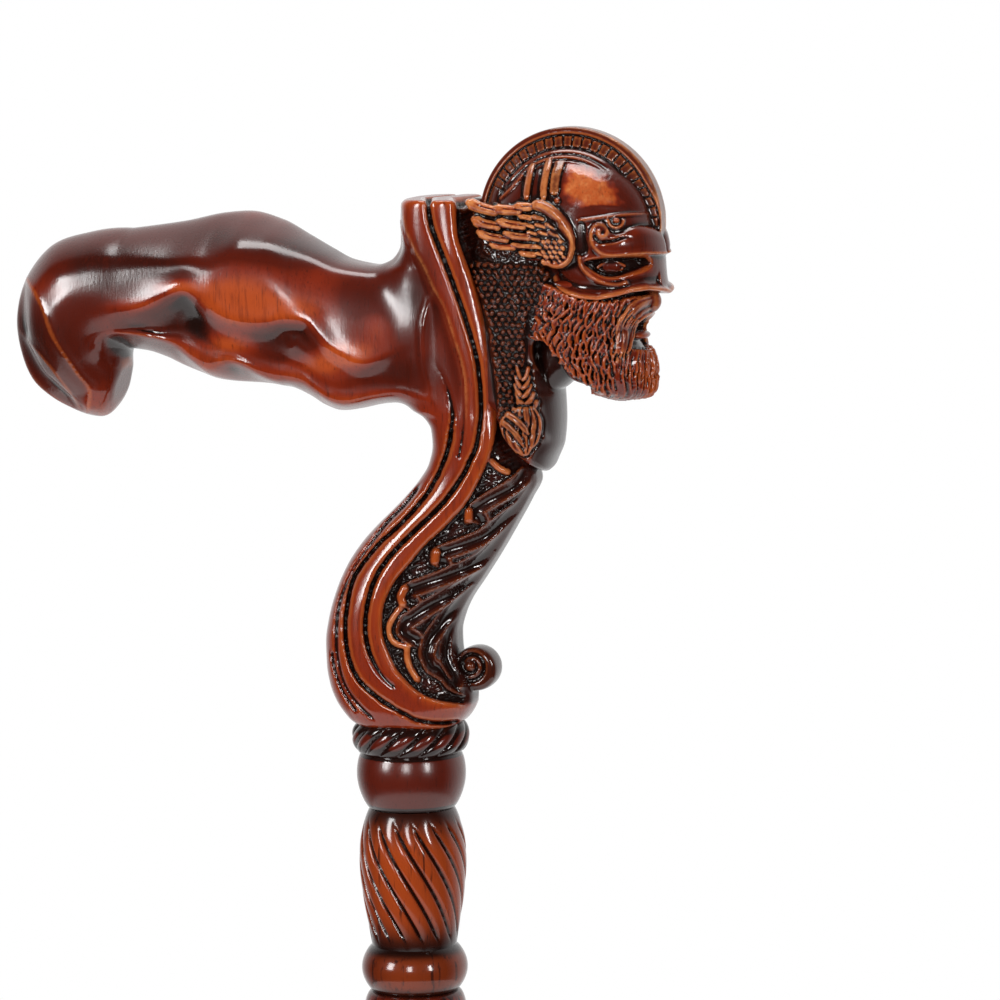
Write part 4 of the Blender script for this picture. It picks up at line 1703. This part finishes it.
def wood_colour(n, place, fine, pores, mottle):
    """Stained wood: dark in hollows and on the panel, lighter where worn, golden where gilt."""
    broad, panel, gilt, tone = (n.attribute(name) for name in ("broad_hollow", "panel", "gilt", "tone"))
    cloud = n.noise(place, 45.0, 4.0, 0.6, (1.0, 1.0, 0.6))
    grain = n.noise(place, 260.0, 4.0, 0.7, (3.0, 3.0, 0.35))
    ragged = n.times(n.minus(mottle, 0.5), 0.10)
    sharp = n.minus(ragged, fine)
    raised = n.minus(n.times(n.minus(cloud, 0.5), 0.5), broad)
    rubbed = n.plus(tone, n.times(raised, 0.7))
    colour = n.blend(n.span(rubbed, -0.35, 0.25), SHADE, MIDDLE)
    colour = n.blend(n.span(rubbed, 0.10, 0.95), colour, WARM)
    colour = n.blend(n.span(rubbed, -1.15, -0.35, 0.85, 0.0), colour, DARK)
    colour = n.blend(n.span(grain, 0.48, 0.66, 0.0, 0.35), colour, SHADE)
    colour = n.blend(n.span(pores, 0.60, 0.72, 0.0, 0.45), colour, DARK)
    colour = n.blend(n.span(sharp, 0.08, 0.26, 0.0, 0.50), colour, WORN)
    patch = n.span(n.noise(place, 300.0, 2.0), 0.38, 0.60, 0.45, 1.0)
    high = n.span(n.plus(sharp, n.times(gilt, 0.03)), -0.03, 0.11, 0.0, 1.0)
    speck = n.span(mottle, 0.50, 0.66, 1.0, 0.35)
    golden = n.times(n.times(gilt, high), n.times(speck, patch))
    colour = n.blend(golden, colour, GOLD)
    hollow = n.span(n.plus(broad, ragged), 0.10, 0.45, 0.0, 0.93)
    colour = n.blend(hollow, colour, DEEP)
    crevice = n.span(n.plus(fine, ragged), 0.04, 0.15, 0.0, 0.95)
    colour = n.blend(crevice, colour, DEEP)
    stain = n.times(n.span(panel, 0.15, 0.95, 0.0, 0.86), n.span(sharp, 0.10, 0.35, 1.0, 0.80))
    return n.blend(stain, colour, DEEP)


def wood_material(name):
    """Lacquered hardwood with fine open grain."""
    n = Nodes(bpy.data.materials.new(name))
    place = n.place()
    fine = n.attribute("fine_hollow")
    pores = n.noise(place, 900.0, 2.0, 0.5, (2.2, 2.2, 0.28))
    mottle = n.noise(place, 750.0, 3.0, 0.65)
    relief = n.plus(n.times(pores, -0.6), n.times(mottle, 0.5))
    n.feed(n.shader, {
        "Base Color": wood_colour(n, place, fine, pores, mottle),
        "Roughness": n.span(pores, 0.3, 0.8, 0.34, 0.5),
        "Specular IOR Level": 0.05,
        "Coat Weight": 1.0,
        "Coat IOR": 1.6,
        "Coat Roughness": n.span(n.maths("ABSOLUTE", fine), 0.0, 0.05, 0.22, 0.10),
        "Normal": n.bump(relief, 0.35, 0.0002),
        "Coat Normal": n.bump(relief, 0.15, 0.0002),
    })
    return n.owner


def shaft_material():
    """Open-grained stick, nearly black in the grain."""
    n = Nodes(bpy.data.materials.new("stick_wood"))
    place = n.place()
    height = n.add("ShaderNodeSeparateXYZ", {0: place}).outputs["Z"]
    fine = n.attribute("fine_hollow")
    wander = n.noise(place, 18.0, 2.0, 0.5, (1.0, 1.0, 0.25))
    vector = n.stretched(place, (1.0, 1.0, 0.035), (0.0, 0.03, 0.4))
    inputs = {"Vector": vector, "Scale": 95.0, "Distortion": 5.5, "Detail": 3.0, "Detail Scale": 1.6}
    rings = n.add("ShaderNodeTexWave", inputs, wave_type="BANDS", bands_direction="X", wave_profile="SAW")
    pores = n.noise(place, 520.0, 3.0, 0.6, (1.6, 1.6, 0.045))
    colour = n.blend(n.span(wander, 0.3, 0.7), SHADE, MIDDLE)
    grain = n.times(n.span(rings.outputs["Fac"], 0.45, 0.95), n.span(pores, 0.35, 0.6))
    colour = n.blend(n.times(grain, 0.9), colour, DEEP)
    vase = n.span(height, (SHOULDER - 1) * MM, (SHOULDER + 1) * MM)
    half = (VASE_RISE_HEIGHT + VASE_FALL_HEIGHT) / 2
    vase_low = SHOULDER + RING_HEIGHT
    from_middle = n.maths("ABSOLUTE", n.minus(height, (vase_low + half) * MM))
    above = n.span(height, (vase_low - 2) * MM, vase_low * MM, 0.4, 1.0)
    warm = n.blend(n.span(wander, 0.40, 0.65, 0.0, 0.9), SHADE, WARM)
    ends = n.span(from_middle, 0.45 * half * MM, half * MM, 0.0, 0.9)
    warm = n.blend(n.times(ends, above), warm, DARK)
    warm = n.blend(n.span(pores, 0.56, 0.70, 0.0, 0.85), warm, DARK)
    colour = n.blend(vase, colour, warm)
    colour = n.blend(n.span(fine, 0.1, 1.2, 0.0, 0.96), colour, DEEP)
    n.feed(n.shader, {
        "Base Color": colour,
        "Roughness": n.span(pores, 0.3, 0.7, 0.30, 0.46),
        "Specular IOR Level": 0.05,
        "Coat Weight": 1.0,
        "Coat Roughness": 0.13,
        "Normal": n.bump(n.times(pores, -1.0), 0.3, 0.0003),
    })
    return n.owner


def rubber_material():
    """Black rubber with a little dust."""
    n = Nodes(bpy.data.materials.new("moulded_rubber"))
    place = n.place()
    dust = n.noise(place, 260.0, 4.0, 0.6)
    n.feed(n.shader, {
        "Base Color": n.blend(n.span(dust, 0.35, 0.75), (0.010, 0.0095, 0.009), (0.022, 0.020, 0.019)),
        "Roughness": n.span(dust, 0.3, 0.7, 0.42, 0.6),
        "Normal": n.bump(n.noise(place, 1400.0, 2.0), 0.2, 0.0002),
    })
    return n.owner


def steel_material(name, colour, roughness):
    """Steel brushed round its axis."""
    n = Nodes(bpy.data.materials.new(name))
    brushed = n.noise(n.place(), 900.0, 3.0, 0.6, (1.0, 1.0, 6.0))
    n.feed(n.shader, {
        "Base Color": n.blend(brushed, colour, tuple(0.8 * part for part in colour)),
        "Metallic": 1.0,
        "Roughness": n.span(brushed, 0.2, 0.8, roughness * 0.8, roughness * 1.2),
    })
    return n.owner


# Camera, lights and floor

FLOOR_RADIUS, FLOOR_SIDES = 1.1, 96
FLOOR_GLOW = (0.55, 1.0)
WORLD_BEHIND_CAMERA, WORLD_BEHIND_OBJECT, WORLD_DIFFUSE = 0.012, 0.85, 0.17

# Lamps: name, place, aim, width, height, power
LAMPS = [
    ("key", (-0.85, -1.00, 1.20), (-0.02, 0, 0.86), 0.32, 0.52, 9),
    ("front", (0.12, -1.30, 1.12), (0, 0, 0.85), 0.22, 0.42, 5.0),
    ("side", (0.95, -0.75, 1.10), (0, 0, 0.83), 0.12, 0.4, 4.5),
    ("top", (0.0, 0.15, 1.9), (0, 0, 0.85), 0.9, 0.4, 7),
]


def make_camera():
    """Main camera, placed and sized to match the close view."""
    azimuth, elevation, roll = map(math.radians, (CAMERA_AZIMUTH, CAMERA_ELEVATION, CAMERA_ROLL))
    out = math.cos(elevation)
    back = Vector((math.sin(azimuth) * out, -math.cos(azimuth) * out, math.sin(elevation)))
    camera = bpy.data.cameras.new("camera")
    camera.sensor_width = SENSOR
    camera.lens = SENSOR * PIXELS_PER_MM * CAMERA_DISTANCE
    camera.clip_start = 0.01
    camera.clip_end = 100
    obj = bpy.data.objects.new("camera", camera)
    obj.matrix_world = (
        Matrix.Translation(Vector(TARGET) + back * CAMERA_DISTANCE)
        @ back.to_track_quat("Z", "Y").to_matrix().to_4x4()
        @ Matrix.Rotation(roll, 4, "Z")
    )
    bpy.context.scene.collection.objects.link(obj)
    bpy.context.scene.camera = obj


def make_light(name, place, aim, width, height, power):
    """Soft rectangular lamp that faces its aim."""
    light = bpy.data.lights.new(name, "AREA")
    light.shape = "RECTANGLE"
    light.size = width
    light.size_y = height
    light.energy = power
    obj = bpy.data.objects.new(name, light)
    obj.location = place
    obj.rotation_euler = (Vector(aim) - Vector(place)).to_track_quat("-Z", "Y").to_euler()
    bpy.context.scene.collection.objects.link(obj)


def make_world():
    """White surroundings, darker on the near side, where the camera stands."""
    world = bpy.data.worlds.new("studio")
    bpy.context.scene.world = world
    n = Nodes(world, "Background")
    rays = n.add("ShaderNodeLightPath").outputs
    place = n.add("ShaderNodeTexCoord").outputs["Generated"]
    across = n.add("ShaderNodeSeparateXYZ", {0: place}).outputs["Y"]
    strength = n.span(across, -0.05, 0.85, WORLD_BEHIND_CAMERA, WORLD_BEHIND_OBJECT)
    for ray, level in (("Is Diffuse Ray", WORLD_DIFFUSE), ("Is Camera Ray", 1.0)):
        mix = n.add("ShaderNodeMix", {"Factor": rays[ray], "A": strength, "B": level})
        strength = mix.outputs["Result"]
    n.feed(n.shader, {"Color": (1, 1, 1, 1), "Strength": strength})


def make_floor():
    """Pale round floor that fades into the white surroundings before its edge."""
    n = Nodes(bpy.data.materials.new("pale_floor"))
    n.feed(n.shader, {"Base Color": (0.9, 0.9, 0.9, 1), "Roughness": 0.8})
    length = n.add("ShaderNodeVectorMath", {0: n.place()}, operation="LENGTH").outputs["Value"]
    fade = n.span(length, 0.05, FLOOR_RADIUS * 0.9, *FLOOR_GLOW)
    glow = n.add("ShaderNodeEmission")
    mix = n.add("ShaderNodeMixShader", {0: fade, 1: n.shader.outputs[0], 2: glow.outputs[0]})
    n.feed(n.tree.nodes["Material Output"], {"Surface": mix.outputs[0]})
    angles = np.arange(FLOOR_SIDES) * 2 * math.pi / FLOOR_SIDES
    corners = np.stack((FLOOR_RADIUS * np.cos(angles), FLOOR_RADIUS * np.sin(angles), 0 * angles), 1)
    floor = mesh_object("floor", corners, [np.arange(FLOOR_SIDES)], False)
    floor.location.z = -0.0002
    floor.data.materials.append(n.owner)


def main():
    """Stage the cane, and put the carved and turned pieces in place of the solids."""
    bpy.context.scene.view_settings.view_transform = "Standard"
    make_camera()
    make_world()
    make_floor()
    for lamp in LAMPS:
        make_light(*lamp)
    handle_wood = wood_material("handle_wood_finish")
    for piece in (make_body(), make_helmet(), make_bust(), make_turned_foot()):
        piece.data.materials.append(handle_wood)
        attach(piece, "cane")
        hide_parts("handle")
    shaft = make_shaft()
    shaft.data.materials.append(shaft_material())
    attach(shaft, "cane")
    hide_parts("shaft")
    ferrule = make_ferrule()
    ferrule.data.materials.append(rubber_material())
    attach(ferrule, "foot")
    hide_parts("rubber_ferrule")
    for node, name, colour, roughness in STEELS:
        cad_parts[node].data.materials[0] = steel_material(name, colour, roughness)


main()
